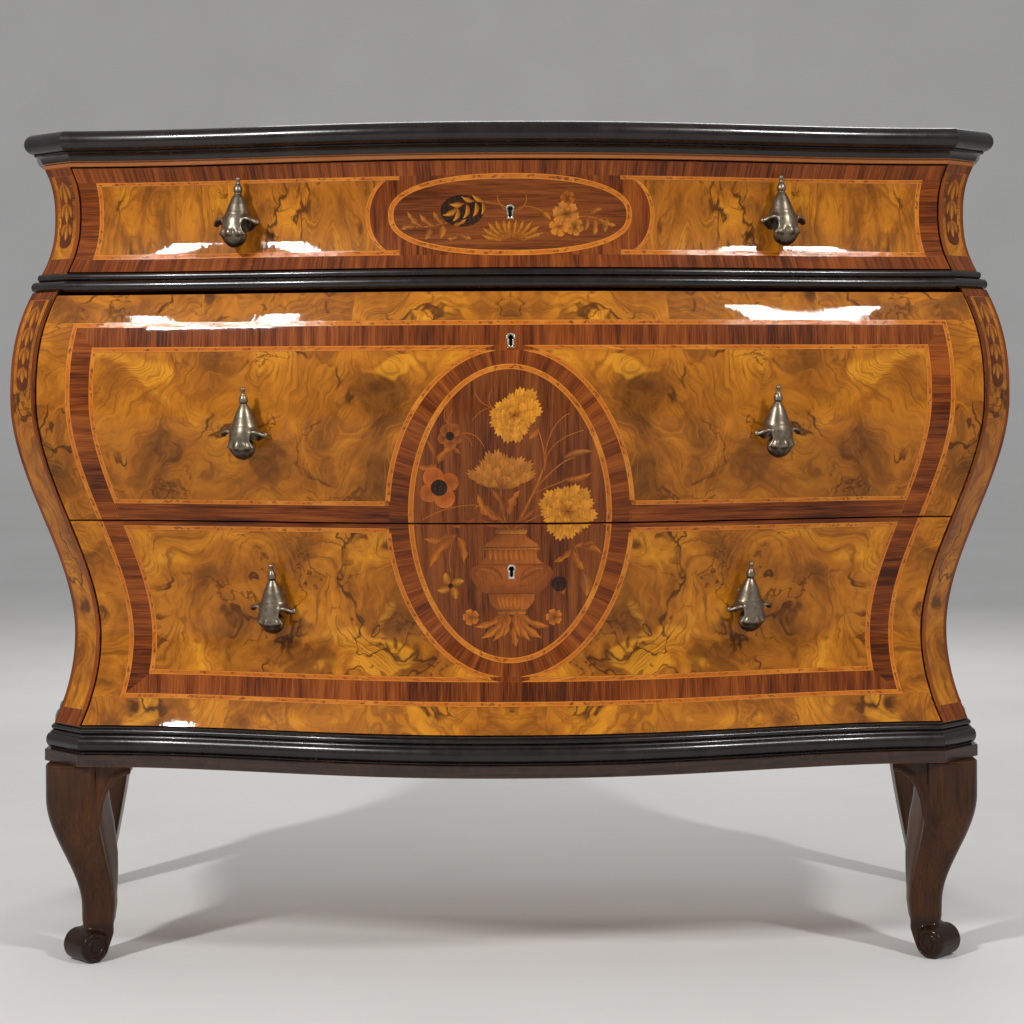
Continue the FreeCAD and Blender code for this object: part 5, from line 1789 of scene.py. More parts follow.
    def large_oval(self, wood: Veneers) -> None:
        """Lay this drawer's part of the large oval.

        Args:
            wood: Where it goes.
        """
        wide = tuple(half + self.oval_lap for half in self.oval_sizes[1])
        middle = tuple(0.5 * (a + b) for a, b in zip(*self.oval_sizes[2:]))
        wood.band.strip(self.arc(wide), self.arc(self.oval_sizes[2]))
        wood.string.strip(self.arc(self.oval_sizes[2]), self.arc(self.oval_sizes[3]), Grain.STRING)
        line = self.arc(middle, 120)
        if self.upper:
            wood.ground.strip(line, stack(line[:, 0], self.joint), Grain.UPRIGHT, leaf=0.0)
            head, foot = self.levels[1], self.levels[3]
            posts = np.linspace(foot, head, 20)[1:-1]
            box = [level_line(-self.lock_half, self.lock_half, head, 20),
                   level_line(self.lock_half, -self.lock_half, foot, 20),
                   stack(-self.lock_half, posts), stack(self.lock_half, posts)]
            self.keyhole.collar(wood.band, np.vstack(box), Grain.UPRIGHT)
        else:
            lid = level_line(line[-1, 0], line[0, 0], self.joint, 40)
            self.keyhole.collar(wood.ground, np.vstack([line, lid[1:-1]]), Grain.UPRIGHT)


# Carcase

@dataclass
class CornerPost:
    """Canted front corner: burl between dark edge bands, with husks under each moulding."""

    side: int
    band: float = 0.0062
    margin: float = 0.0006
    end_gap: float = 0.0005
    foot: float = 0.018
    husk_drop: float = 0.018
    husks: tuple[int, int] = (4, 3)

    def build(self) -> None:
        """Lay the veneers of both stages."""
        width = FORM.cant * math.sqrt(2.0)
        edges = (self.margin, self.margin + self.band, width - self.margin - self.band, width - self.margin)
        lap = [self.end_gap, 0.0]
        for (stage, low, high), count in zip(STAGES, self.husks):
            skin = CantSkin(low, high, self.side)
            wood = Veneers(f"post_{SIDES[self.side]}_{stage}", "carcase", skin, drawing="husks")
            z0, z1 = low + self.end_gap, high - self.end_gap
            lines = [stack(u, np.linspace(z0, z1, 50)) for u in edges]
            wood.band.strip(lines[0], lines[1], Grain.RUN)
            wood.band.strip(lines[2], lines[3], Grain.RUN)
            wood.burl.strip(lines[1] - lap, lines[2] + lap, Grain.MATCHED, leaf=3.3 + low)
            for ends in ((z0, low + self.foot), (high - 0.5 * self.foot, z1)):
                wood.band.strip(*[level_line(edges[0], edges[3], z, 8) for z in ends])
            Marquetry(wood.inlay).husks(0.5 * width / MM, (high - self.husk_drop) / MM, count)
            wood.build()


@dataclass
class SidePanel:
    """Bombe side: crossband frame, string and a book-matched burl field in each stage."""

    side: int
    band: float = 0.034
    string: float = 0.006
    margin: float = 0.001
    upper_scale: float = 0.62
    front_lap: float = 0.019
    rear_gap: float = 0.001

    def build(self) -> None:
        """Lay the veneers of both stages."""
        middle = 0.5 * (FORM.side_front + FORM.side_rear)
        insets = (self.margin, self.band, self.band + self.string)
        for (stage, low, high), scale in zip(STAGES, (1.0, self.upper_scale)):
            wood = Veneers(f"side_{SIDES[self.side]}_{stage}", "carcase", SideSkin(low, high, self.side))
            rings = [self.ring(low, high, inset * scale) for inset in insets]
            for outer, line, inner in zip(*rings):
                wood.band.strip(outer, line)
                wood.string.strip(line, inner, Grain.STRING)
            _, rear, _, front = rings[1]
            for edge in (rear[0, 0], front[0, 0]):
                lines = [stack(y, rear[:, 1]) for y in (edge, middle)]
                wood.burl.strip(*lines, Grain.UPRIGHT, leaf=2.2 + low)
            wood.build()

    def ring(self, low: float, high: float, inset: float) -> list[Array]:
        """Four edges of a frame line.

        Args:
            low: Foot of the stage.
            high: Head of the stage.
            inset: Distance inside the panel.

        Returns:
            Foot, rear, head and front edges.
        """
        y = np.linspace(FORM.side_front - self.front_lap + inset, -self.rear_gap - inset, 40)
        z = np.linspace(low + inset, high - inset, 40)
        return [stack(y, z[0]), stack(y[-1], z), stack(y[::-1], z[-1]), stack(y[0], z[::-1])]


@dataclass
class TopBoard:
    """Veneered top: crossband border, string and a quartered burl field."""

    core: float = 0.024
    band: float = 0.048
    string: float = 0.006
    margin: float = 0.0005
    rear_points: int = 29

    def outline(self, inset: float) -> Array:
        """Closed outline of the top, moved inwards.

        Args:
            inset: The distance.

        Returns:
            Rows of points, from the middle of the back round by the right.
        """
        out = self.core - inset
        half = FORM.opening_half + out
        y = np.linspace(-inset, -(FORM.corner_depth + out - FORM.cant), 40)
        x = np.linspace(half, 0.0, 40)
        right = stack(FORM.side_x(y, out), FORM.shift + y)
        rear = level_line(0.0, right[0, 0], FORM.shift - inset, self.rear_points + 1)[:-1]
        right_half = np.vstack([rear, right, stack(x, FORM.front_y(x, out, half))])
        return np.vstack([right_half, right_half[-2:0:-1] * [-1.0, 1.0]])

    def build(self) -> None:
        """Lay the veneers."""
        wood = Veneers("top", "carcase", TopSkin())
        lines = [self.outline(inset) for inset in (self.margin, self.band, self.band + self.string)]
        wood.band.strip(lines[0], lines[1], closed=True)
        wood.string.strip(lines[1], lines[2], Grain.STRING, closed=True)
        inner = self.outline(self.band + 0.5 * self.string)
        right = inner[self.rear_points:len(inner) // 2 + 1]
        for side in SIDES:
            wood.burl.strip(right * [side, 1.0], right * [0.0, 1.0], Grain.MATCHED, leaf=5.0)
        wood.build()


class Run(Enum):
    """Member of a moulding's profile."""

    FLAT = "flat"
    BEAD = "bead"
    COVE = "cove"


@dataclass
class Moulding:
    """Ebonised moulding round the front and sides."""

    name: str
    core: float
    base: float
    runs: tuple[tuple[Run, float, float, float, float], ...]
    strip_height: float = 0.0
    fascia_height: float = 0.0

    def profile(self) -> Array:
        """Stand-off, height and wear along the profile, bottom to top.

        Returns:
            Rows of three numbers.
        """
        rows: list[Point] = []
        for kind, low, high, first, second in self.runs:
            tall = high - low
            if kind is Run.FLAT:
                ease = min(0.0006, 0.3 * tall)
                rows += [(first - ease, low), (first, low + ease), (first, high - ease), (first - ease, high)]
            elif kind is Run.BEAD:
                rows += [(first + second * math.sin(t), 0.5 * (low + high) - 0.5 * tall * math.cos(t))
                         for t in np.linspace(0.0, math.pi, 19)]
            else:
                rows += [(second - (second - first) * math.cos(t), low + tall * math.sin(t))
                         for t in np.linspace(0.0, 0.5 * math.pi, 12)]
        table = np.array(rows)
        table[:, 1] = np.maximum.accumulate(table[:, 1] + np.arange(len(table)) * 1e-6)
        step = np.diff(table, axis=0, prepend=table[:1] - [MM, 0.0], append=table[-1:] - [[MM, 0.0]])
        bend = np.abs(np.diff(np.unwrap(np.arctan2(step[:, 1], step[:, 0]))))
        return np.column_stack([table, np.clip(1.2 * (bend - 0.45), 0.0, 1.0)])

    def sweep(self, name: str, lines: Array, profile: Array) -> None:
        """Solid through the moulding's lines.

        Args:
            name: Name of the solid that it stands for.
            lines: Profile points by stations by three numbers, then the two rear lines.
            profile: The profile with its wear.
        """
        count, stations = lines.shape[:2]
        starts = range(0, count * stations, stations)
        faces = grid_faces(count, stations, wrap=True)
        faces += [tuple(starts), tuple(start + stations - 1 for start in starts)]
        mesh = closed_mesh(name + "_run", lines.reshape(-1, 3), faces)
        _, height, wear = profile.T
        tones = stack(wear, height <= self.strip_height, height <= self.fascia_height)
        tint(mesh, np.repeat(np.vstack([tones, np.zeros((2, 3))]), stations, axis=0))
        piece = add_piece(name + "_run", mesh, EBONISED, "carcase", 28.0)
        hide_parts(name)

    def build(self) -> None:
        """Sweep the front and both returns."""
        profile = self.profile()
        mitre = math.tan(math.pi / 8.0)
        half, corner = FORM.opening_half + self.core, FORM.corner_depth + self.core
        front, right = [], []
        for out, rise in [*profile[:, :2], (0.0, profile[-1, 1]), (0.0, 0.0)]:
            z = self.base + rise
            reach = half + out * mitre
            x = np.linspace(-reach, reach, 121)
            front.append(stack(x, FORM.front_y(x, self.core + out, reach), z))
            side_y = -(corner - FORM.cant) - out * mitre
            cant = np.linspace((reach, FORM.shift - corner - out),
                               (half + FORM.cant + out, FORM.shift + side_y), 9)
            stops = ((side_y, FORM.side_front, 6), (FORM.side_front, FORM.side_rear, 46),
                     (FORM.side_rear, 0.0, 5))
            y = np.concatenate([np.linspace(*stop)[1:] for stop in stops])
            run = np.vstack([cant, stack(FORM.side_x(y, self.core + out), FORM.shift + y)])
            right.append(stack(*run.T, z))
        self.sweep(self.name + "_front", np.array(front), profile)
        for side in SIDES:
            self.sweep(f"{self.name}_{SIDES[side]}", np.array(right) * [side, 1.0, 1.0], profile)


def rounded_square(count: int, power: float) -> tuple[Array, Array]:
    """Points of a square of half width one, its corners sharper for a higher power."""
    c, s = np.cos(full_turn(count)), np.sin(full_turn(count))
    size = (np.abs(c) ** power + np.abs(s) ** power) ** (-1.0 / power)
    return size * c, size * s


@dataclass
class CabrioleLeg:
    """Cabriole leg with knee brackets, a carved bead and a scroll foot, standing out along +X."""

    knee_drop: float = 0.040
    knee: float = 0.032
    ankle_height: float = 0.062
    ankle: float = 0.0200
    sweep: float = 0.035
    section_power: float = 4.2
    scroll_radius: float = 0.019
    scroll_width: float = 0.045
    scroll_at: float = -0.015
    scroll_ease: float = 0.004
    sole_cut: float = 0.0008
    volute: Point = (0.0155, 0.0050)
    volute_rod: Point = (0.0021, 0.0015)
    ear_length: float = 0.070
    ear_height: float = 0.056
    ear_lip: float = 0.010
    ear_thickness: float = 0.020
    ear_forward: float = 0.012
    web: float = 0.013
    web_heights: tuple[float, ...] = (0.075, 0.125, 0.165, 0.215)
    web_shares: tuple[float, ...] = (0.0, 0.8, 1.0, 0.5)
    bead_reach: float = 1.17
    bead_foot: float = 0.080
    bead: Vec3 = (0.0034, 0.0044, 0.0018)
    inset: float = 0.011
    voxel: float = 0.0017

    def ease(self, z: Array) -> Array:
        """How far the leg has gone from knee to ankle at a height."""
        high = FORM.leg_height - self.knee_drop
        t = np.clip((high - z) / (high - self.ankle_height), 0.0, 1.0)
        return t * t * (3.0 - 2.0 * t)

    def size(self, z: Array) -> Array:
        """Half width of the leg at a height."""
        return self.knee + (self.ankle - self.knee) * self.ease(z)

    def ring(self, centre: float, z: float, tip: float, depth: float, width: float, turn: float) -> Array:
        """Rounded square across the leg.

        Args:
            centre: How far it stands out.
            z: Its height.
            tip: How it is tipped, in radians.
            depth: Half its depth.
            width: Half its width.
            turn: How it is turned about the leg, in radians.

        Returns:
            Rows of points.
        """
        a, b = rounded_square(48, self.section_power)
        along = depth * (a * math.cos(turn) - b * math.sin(turn))
        across = width * (a * math.sin(turn) + b * math.cos(turn))
        return stack(centre + along * math.cos(tip), across, z + along * math.sin(tip))

    def bracket(self, solids: Solids, side: int) -> None:
        """Bracket beside the knee with its carved bead.

        Args:
            solids: Where it goes.
            side: Which side of the knee.
        """
        lip = FORM.leg_height - self.ear_lip
        foot = lip - self.ear_height
        turns = np.linspace(0.0, 0.5 * np.pi, 18)
        arc = stack(self.knee + (self.ear_length - self.knee) * (1.0 - np.sin(turns)),
                    lip - self.ear_height * (1.0 - np.cos(turns)))
        outline = np.vstack([(0.0, FORM.leg_height), (self.ear_length, FORM.leg_height), arc, (0.0, foot)])
        angle = math.pi + side * math.pi / 4.0
        ahead = np.array([math.cos(angle), math.sin(angle), 0.0])
        aside = np.array([-math.sin(angle), math.cos(angle), 0.0]) * side

        def forward(line: Array, share: float) -> Array:
            """A line of the bracket's plane, moved forward by a share of its thickness."""
            reach = aside * (self.ear_forward + share * self.ear_thickness)
            return np.outer(line[:, 0], ahead) + reach + np.outer(line[:, 1], UP)

        solids.tube([forward(outline, share) for share in (-0.5, 0.5)])
        z = np.linspace(foot - 0.006, self.bead_foot, 26)
        down = stack(-self.sweep * self.ease(z), -side * self.bead_reach * self.size(z), z)
        path = np.vstack([forward(arc + [0.0, MM], 0.42), down])
        solids.rod(path, np.interp(np.arange(len(path)), [0, 20, len(path) - 1], self.bead))

    def blank(self) -> Mesh:
        """Shaft, foot and brackets grown together.

        Returns:
            The mesh.
        """
        shaft = Solids()
        quarter = math.pi / 4.0
        half = 0.5 * self.scroll_width
        rings = []
        for z in np.linspace(FORM.leg_height, self.ankle_height, 30):
            size, centre = self.size(z), -self.sweep * self.ease(z)
            ring = self.ring(centre, z, 0.0, size, size, quarter)
            inward = np.clip((centre - ring[:, 0]) / (1.2 * size), 0.0, 1.0) ** 1.5
            ring[:, 0] -= self.web * np.interp(z, self.web_heights, self.web_shares) * inward
            rings.append(ring)
        rings += [self.ring(-0.0335, 0.045, 0.06, 0.0185, 0.0195, quarter),
                  self.ring(-0.0320, 0.033, 0.14, 0.0165, half * 0.86, 0.4),
                  self.ring(-0.0265, 0.0185, 0.62, 0.0120, half * 0.96, 0.1),
                  self.ring(self.scroll_at, 0.0100, 1.45, 0.0092, half, 0.0)]
        shaft.tube(rings)
        turns, bend = full_turn(40), np.linspace(0.0, 0.5 * np.pi, 5)
        inset, drop = (self.scroll_ease * (1.0 - share) for share in (np.cos(bend), np.sin(bend)))
        across = np.concatenate([inset - half, half - inset[::-1]])
        radii = self.scroll_radius - np.concatenate([drop, drop[::-1]])
        shaft.tube([self.coil(r, turns, y) for y, r in zip(across, radii)])
        for side in SIDES:
            self.bracket(shaft, side)
        return shaft.melted("leg_blank", self.voxel)

    def coil(self, reach: Array, turns: Array, across: float) -> Array:
        """Points about the scroll's axis."""
        return stack(self.scroll_at + reach * np.cos(turns), across,
                     self.scroll_radius - self.sole_cut + reach * np.sin(turns))

    def build(self) -> None:
        """Model one leg and set it at both front corners."""
        blank = self.blank()
        body = np.array([vertex.co for vertex in blank.vertices], float)
        body[:, 2] = np.clip(body[:, 2], 0.0, FORM.leg_height - LEG_GAP)
        whole = Solids()
        whole.add(body, [tuple(face.vertices) for face in blank.polygons])
        bpy.data.meshes.remove(blank)
        turn = np.linspace(0.0, 3.4 * np.pi, 70)
        reach, rod = (np.linspace(*ends, 70) for ends in (self.volute, self.volute_rod))
        for side in SIDES:
            whole.rod(self.coil(reach, turn + 2.6, side * (0.5 * self.scroll_width - 0.0002)), rod)
        out = FORM.skirt
        corner = np.array([FORM.opening_half + 0.5 * FORM.cant + out,
                           0.5 * FORM.cant - FORM.corner_depth - out])
        spot = corner + np.array([-1.0, 1.0]) * self.inset * math.sqrt(0.5)
        set_pair("front_leg", whole, spot, -math.pi / 4.0)


def set_pair(name: str, solids: Solids, spot: Sequence[float], angle: float) -> None:
    """Set a leg and its mirror image under the chest.

    Args:
        name: First words of the solid legs that they stand for.
        solids: The right-hand leg, standing out along +X.
        spot: Its place, from the back plane.
        angle: Its turn about the upright, in radians.
    """
    turned = Matrix.Translation((spot[0], spot[1] + FORM.shift, 0.0)) @ Matrix.Rotation(angle, 4, "Z")
    for side in SIDES:
        mesh = solids.mesh(f"{name}_{SIDES[side]}_carved")
        mesh.transform(turned)
        if side < 0:
            mesh.transform(Matrix.Diagonal((-1.0, 1.0, 1.0, 1.0)))
            mesh.flip_normals()
        piece = add_piece(mesh.name, mesh, LEG_WOOD, "carcase", 60.0)
        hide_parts(f"{name}_{SIDES[side]}")


@dataclass
class RearLeg:
    """Plain squared rear leg that sweeps outwards, with eased arrises."""

    head: float = 0.020
    foot: float = 0.016
    sweep: float = 0.036
    power: float = 1.4
    section_power: float = 9.0
    out: float = 0.0075
    setback: float = 0.026
    ease: float = 0.0025

    def build(self) -> None:
        """Model one leg and set it at both rear corners."""
        a, b = rounded_square(64, self.section_power)
        rings = []
        for z in [*np.linspace(FORM.leg_height - LEG_GAP, self.ease, 40), 0.4 * self.ease, 0.0]:
            share = (FORM.leg_height - z) / FORM.leg_height
            half = self.head + (self.foot - self.head) * share - max(0.0, self.ease - z) * 0.6
            rings.append(stack(self.sweep * share ** self.power + half * a, half * b, z))
        leg = Solids()
        leg.tube(rings)
        set_pair("rear_leg", leg, (FORM.opening_half + FORM.cant + self.out, -self.setback), 0.0)


# Pulls

def soften(table: Array) -> Array:
    """The table smoothed along its rows, its ends staying as they are."""
    for _ in range(3):
        table[1:-1] = 0.25 * table[:-2] + 0.5 * table[1:-1] + 0.25 * table[2:]
    return table


@dataclass
class BellPull:
    """Cast bell-flower pull in millimetres: finial, beads, flared bell, tongue and two curled ears."""

    standoff: float = 17.0
    voxel: float = 0.0006
    boss_height: float = 6.0
    twist: float = 0.19
    profile: tuple[Point, ...] = (
        (0.05, 46.8), (2.0, 46.4), (3.0, 45.0), (3.0, 43.4), (2.2, 41.8), (2.0, 40.0), (2.4, 38.4),
        (3.7, 36.6), (4.8, 34.4), (5.4, 31.8), (5.2, 30.0), (4.2, 28.4), (3.6, 27.3), (4.4, 26.5),
        (5.8, 24.6), (7.4, 22.0), (9.1, 18.4), (10.9, 14.4), (12.3, 10.4), (13.7, 6.6), (15.0, 3.6))
    flare: tuple[Point, ...] = ((0.25, 0.14), (0.45, 0.36), (0.65, 0.62), (0.85, 0.88), (1.0, 1.0))
    lining: tuple[Point, ...] = ((1.0, 2.6), (0.75, 3.2), (0.4, 3.0))
    hollow: tuple[Point, ...] = ((11.4, 2.6), (9.4, 6.4), (6.0, 10.0), (0.05, 12.0))
    boss: tuple[Point, ...] = ((-17.0, 4.5), (-3.0, 4.5), (-0.6, 5.5), (0.5, 5.5))
    lip_turns: tuple[float, ...] = (0.0, 30.0, 45.0, 60.0, 74.0, 84.0, 94.0, 108.0, 124.0, 180.0)
    lip_reach: tuple[float, ...] = (17.0, 17.2, 18.6, 22.4, 26.6, 28.2, 26.4, 21.5, 16.6, 15.4)
    lip_height: tuple[float, ...] = (-3.4, -3.4, -3.6, -3.6, -5.4, -7.2, -8.0, -12.0, -16.0, -16.0)
    tongue_line: tuple[Vec3, ...] = (
        (12.6, 5.0, 40.0), (14.6, 1.0, 46.0), (16.4, -3.4, 48.0), (17.4, -8.0, 42.0), (18.2, -13.4, 41.0),
        (19.2, -17.5, 46.0), (20.0, -20.4, 53.0), (18.0, -23.2, 50.0), (16.2, -27.5, 44.0),
        (12.5, -32.5, 36.0), (7.0, -35.0, 30.0))
    tongue_thickness: float = 0.0026
    bulb: Vec3 = (6.0, 0.0, -22.8)
    bulb_size: Vec3 = (0.0146, 0.0122, 0.0130)
    ear_tip: Vec3 = (27.6, math.radians(84.0), -7.4)
    ear_size: Vec3 = (0.0040, 0.0038, 0.0038)
    rim_radii: Vec3 = (0.0022, 0.0019, 0.0013)
    rim_line: tuple[Vec3, ...] = (
        (27.6, 78.0, -7.4), (25.0, 68.0, -4.2), (21.6, 60.0, -2.8), (18.8, 54.0, -3.0), (17.6, 48.0, -4.6),
        (17.4, 43.0, -8.4), (18.0, 41.0, -13.0), (19.2, 46.0, -17.4), (21.0, 54.0, -21.4))

    def build(self, places: Sequence[tuple[str, float, float]]) -> None:
        """Model one pull and set it on all drawers.

        Args:
            places: Drawer, distance from the middle and height of each pair.
        """
        solids = Solids()
        self.bell(solids)
        self.tongue(solids)
        for side in SIDES:
            self.ear(solids, side)
        blank = solids.melted("pull_blank", self.voxel)
        for drawer, across, height in places:
            for side in SIDES:
                mesh = blank.copy()
                mesh.name = f"{drawer}_pull_{SIDES[side]}"
                mesh.transform(self.frame(side * across, height) @ self.turned(side))
                piece = add_piece(mesh.name, mesh, BRONZE, drawer, 70.0)
                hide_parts(drawer + "_pulls")
        bpy.data.meshes.remove(blank)

    def turned(self, side: int) -> Matrix:
        """Turn of a pull about its own upright axis, its tongue towards the nearer end."""
        axis = Matrix.Translation((0.0, -self.standoff * MM, 0.0))
        return axis @ Matrix.Rotation(side * self.twist, 4, "Z") @ axis.inverted()

    def frame(self, x: float, z: float) -> Matrix:
        """Where a pull sits on the curved face.

        Args:
            x: Place across.
            z: Height.

        Returns:
            Matrix with its across, inward and up directions.
        """
        skin = FrontSkin(z - 0.05, z + 0.05)
        around = np.array([(0.0, 0.0), (MM, 0.0), (-MM, 0.0), (0.0, MM), (0.0, -MM)])
        spot, right, left, above, below = skin.place(x + around[:, 0], z + around[:, 1])
        across = Vector(right - left).normalized()
        inward = Vector(above - below).cross(across).normalized()
        matrix = Matrix((across, inward, across.cross(inward))).transposed().to_4x4()
        matrix.translation = Vector(spot)
        return matrix

    def round(self, radius: Array, turn: Array, z: Array) -> Array:
        """Points about the bell's own axis, the turn being measured from the front."""
        place = np.broadcast_arrays(radius * np.sin(turn), -self.standoff - radius * np.cos(turn), z)
        return np.stack(place, axis=-1) * MM

    def bell(self, solids: Solids) -> None:
        """Turned finial and hollow bell, with the boss behind.

        Args:
            solids: Where it goes.
        """
        turns = full_turn(96)
        away = np.degrees(np.abs(np.where(turns > np.pi, turns - 2.0 * np.pi, turns)))
        throat, start = self.profile[-1]
        reach = np.interp(away, self.lip_turns, self.lip_reach) - throat
        drop = np.interp(away, self.lip_turns, self.lip_height) - start
        rings = [self.round(radius, turns, z) for radius, z in self.profile]
        for share, spread in self.flare:
            rings.append(self.round(throat + reach * spread, turns, start + drop * share))
        for share, inner in self.lining:
            rings.append(self.round(throat + reach * share ** 1.4 - inner, turns, start + drop * share - 0.6))
        rings += [self.round(radius, turns, z) for radius, z in self.hollow]
        solids.tube(rings)
        solids.tube([stack(radius * np.cos(turns), y, self.boss_height + radius * np.sin(turns)) * MM
                     for y, radius in self.boss])

    def tongue(self, solids: Solids) -> None:
        """Front lobe: narrow waist, pointed horns and a bulb that curls under.

        Args:
            solids: Where it goes.
        """
        steps = np.linspace(0.0, len(self.tongue_line) - 1.0, 41)
        radius, z, wide = soften(resample(np.array(self.tongue_line), steps)).T
        across = np.linspace(-1.0, 1.0, 27)
        lobes = 1.3 * np.outer(np.exp(-((z + 18.6) / 3.6) ** 2), np.cos(3.0 * np.pi * across))
        turn = np.radians(np.outer(wide, across))
        solids.sheet(self.round(radius[:, None] + lobes, turn, z[:, None]), self.tongue_thickness)
        solids.ball(self.round(*self.bulb), self.bulb_size)

    def ear(self, solids: Solids, side: int) -> None:
        """Rounded tip of a side lobe, and the thick lip from it over the opening to the tongue's horn.

        Args:
            solids: Where it goes.
            side: Which side.
        """
        mirror = [side, 1.0, 1.0]
        solids.ball(self.round(*self.ear_tip) * mirror, self.ear_size)
        steps = np.linspace(0.0, len(self.rim_line) - 1.0, 41)
        radius, turn, z = resample(np.array(self.rim_line), steps).T
        path = soften(self.round(radius, np.radians(turn), z) * mirror)
        solids.rod(path, np.interp(steps, [0.0, 4.0, 8.0], self.rim_radii))


# Stage

@dataclass
class Studio:
    """Camera, lamps, world and floor."""

    eye: Vec3 = (-0.0123, -2.80825, 0.705)
    yaw: float = 0.00537
    roll: float = -0.00405
    focal: float = 2233.9
    horizon: float = -141.0
    picture: float = 1024.0
    sensor: float = 36.0
    lamps: tuple[tuple, ...] = (
        ("lamp_left", (-1.95, -2.3, 2.35), (-0.1, -0.2, 0.62), (0.17, 0.50), 70.0),
        ("lamp_right", (2.15, -2.3, 2.75), (0.1, -0.2, 0.62), (0.17, 0.50), 56.0),
        ("lamp_rear", (0.3, 2.6, 2.2), (0.0, 0.2, 0.6), (2.0, 1.2), 34.0))
    sky: Colour = (0.86, 0.87, 0.90)
    sky_strength: float = 0.42
    floor_half: float = 9.0
    floor_gap: float = 0.0002
    floor_line: tuple[Point, ...] = (
        (-9.0, 0.0), (4.0, 0.0), (5.5, 0.12), (6.6, 0.55), (7.3, 1.4), (7.6, 3.0), (7.6, 7.0))

    def build(self) -> None:
        """Set the stage."""
        self.camera()
        for lamp in self.lamps:
            self.lamp(*lamp)
        self.world()
        self.floor()
        bpy.context.scene.view_settings.view_transform = "Standard"

    def camera(self) -> None:
        """Level camera at the photograph's place, its frame let down below the horizon."""
        data = bpy.data.cameras.new("camera")
        data.sensor_width = self.sensor
        data.lens = self.sensor * self.focal / self.picture
        data.shift_y = self.horizon / self.picture
        ahead = Vector((math.sin(self.yaw), math.cos(self.yaw), 0.0))
        right = Vector((math.cos(self.yaw), -math.sin(self.yaw), 0.0))
        up = Vector(UP)
        across = right * math.cos(self.roll) + up * math.sin(self.roll)
        above = up * math.cos(self.roll) - right * math.sin(self.roll)
        matrix = Matrix((across, above, -ahead)).transposed().to_4x4()
        matrix.translation = Vector(self.eye)
        camera = put("camera", data)
        camera.matrix_world = matrix
        bpy.context.scene.camera = camera

    def lamp(self, name: str, place: Vec3, target: Vec3, size: Point, power: float) -> None:
        """Soft lamp aimed at a point.

        Args:
            name: Its name.
            place: Where it stands.
            target: Where it is aimed.
            size: Width and height of its face.
            power: Watts.
        """
        data = bpy.data.lights.new(name, "AREA")
        data.shape = "RECTANGLE"
        data.size, data.size_y = size
        data.energy = power
        lamp = put(name, data)
        lamp.location = place
        lamp.rotation_euler = (Vector(target) - Vector(place)).to_track_quat("-Z", "Y").to_euler()

    def world(self) -> None:
        """Even pale light from all round."""
        world = bpy.data.worlds.new("studio")
        world.use_nodes = True
        background = world.node_tree.nodes["Background"]
        background.inputs["Color"].default_value = (*self.sky, 1.0)
        background.inputs["Strength"].default_value = self.sky_strength
        bpy.context.scene.world = world

    def floor(self) -> None:
        """Broad floor that curves up far behind."""
        points = [(side * self.floor_half, y, z - self.floor_gap)
                  for y, z in self.floor_line for side in SIDES]
        mesh = bpy.data.meshes.new("floor")
        mesh.from_pydata(points, [], grid_faces(len(self.floor_line), len(SIDES)))
        mesh.shade_smooth()
        mesh.materials.append(FLOOR.material())
        floor = put("floor", mesh)


# Whole chest

@dataclass
class SolidFinishes:
    """Finishes of the solids that stay in view, by the record's slot."""

    finishes: tuple[Finish, ...] = (BURL_SOLID, EBONISED, LEG_WOOD, SOFTWOOD, BRONZE, LINER, IRON)

    def dress(self) -> None:
        """Give every solid its finish."""
        known = {finish.slot: finish for finish in self.finishes}
        for name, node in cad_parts.items():
            for slot in node.material_slots:
                base = slot.material.name.split(".")[0] if slot.material else ""
                if base in known:
                    slot.material = known[base].material()
                else:
                    log.warning("%s has no finish for %s", name, base)


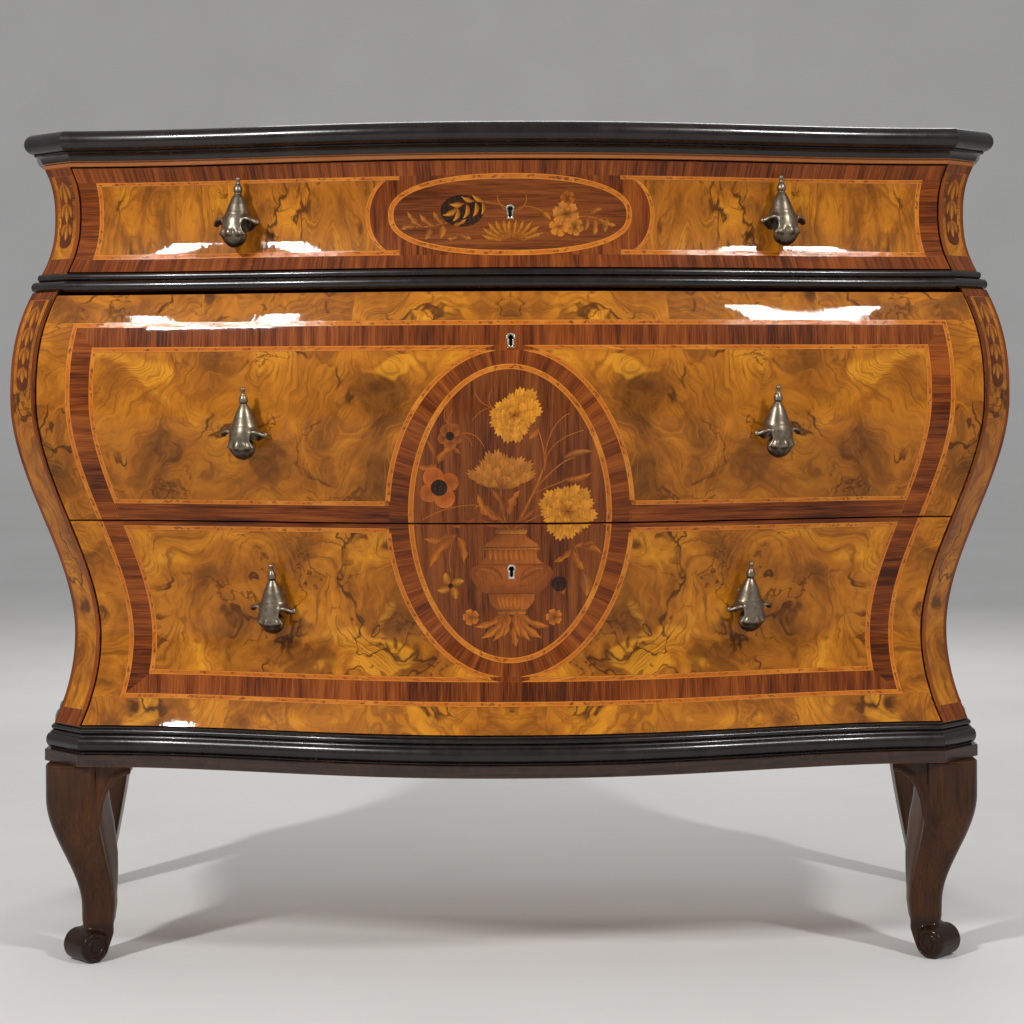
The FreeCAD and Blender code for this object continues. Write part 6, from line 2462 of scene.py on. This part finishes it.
BASE_RUNS = ((Run.FLAT, 0.0, 0.014, 0.020, 0.0), (Run.FLAT, 0.014, 0.0165, 0.0135, 0.0),
             (Run.BEAD, 0.0165, 0.0335, 0.0135, 0.005), (Run.COVE, 0.0335, 0.037, 0.0135, 0.0095),
             (Run.BEAD, 0.037, 0.0435, 0.0095, 0.003), (Run.FLAT, 0.0435, 0.046, 0.009, 0.0))
WAIST_RUNS = ((Run.BEAD, 0.0, 0.013, 0.0135, 0.006), (Run.BEAD, 0.013, 0.022, 0.009, 0.0035))
TOP_RUNS = ((Run.FLAT, 0.0, 0.0055, 0.006, 0.0), (Run.COVE, 0.0055, 0.015, 0.008, 0.017),
            (Run.FLAT, 0.015, 0.0175, 0.017, 0.0), (Run.BEAD, 0.0175, 0.041, 0.0165, 0.0115))
PULL_PLACES = (("top_drawer", 0.312, 0.885), ("middle_drawer", 0.299, 0.644), ("bottom_drawer", 0.272, 0.440))


def main() -> None:
    """Build every piece of the chest and the stage round it."""
    SolidFinishes().dress()
    TopDrawerFace("top_drawer", 0.8235, 0.946, Keyhole(0.891)).build()
    FramedDrawerFace("middle_drawer", 0.532, 0.7955, Keyhole(0.743),
                     levels=(0.763, 0.757, 0.7343, 0.7285, 0.557, 0.5515), leaf=0.0,
                     spots=((0.125, 0.716, 0.055, 0.018, 1.1), (0.410, 0.690, 0.050, 0.045, 0.6),
                            (0.420, 0.600, 0.050, 0.035, -0.9), (0.225, 0.675, 0.070, 0.050, -0.7),
                            (0.190, 0.590, 0.080, 0.040, -0.6))).build()
    FramedDrawerFace("bottom_drawer", 0.2875, 0.530, Keyhole(0.478),
                     levels=(0.3185, 0.324, 0.346, 0.352, 0.5197, 0.5255), leaf=8.0,
                     spots=((0.125, 0.372, 0.050, 0.020, 1.1), (0.345, 0.420, 0.050, 0.040, 0.5),
                            (0.240, 0.480, 0.080, 0.035, -0.7), (0.290, 0.385, 0.060, 0.022, -0.8),
                            (0.200, 0.302, 0.200, 0.016, 0.6))).build()
    for side in SIDES:
        CornerPost(side).build()
        SidePanel(side).build()
    TopBoard().build()
    Moulding("base_moulding", 0.013, FORM.leg_height, BASE_RUNS, fascia_height=0.0145).build()
    Moulding("waist_moulding", 0.025, FORM.z_waist, WAIST_RUNS).build()
    Moulding("top_moulding", 0.024, FORM.z_head, TOP_RUNS, 0.0056).build()
    CabrioleLeg().build()
    RearLeg().build()
    BellPull().build(PULL_PLACES)
    Studio().build()


if __name__ == "__main__":
    main()
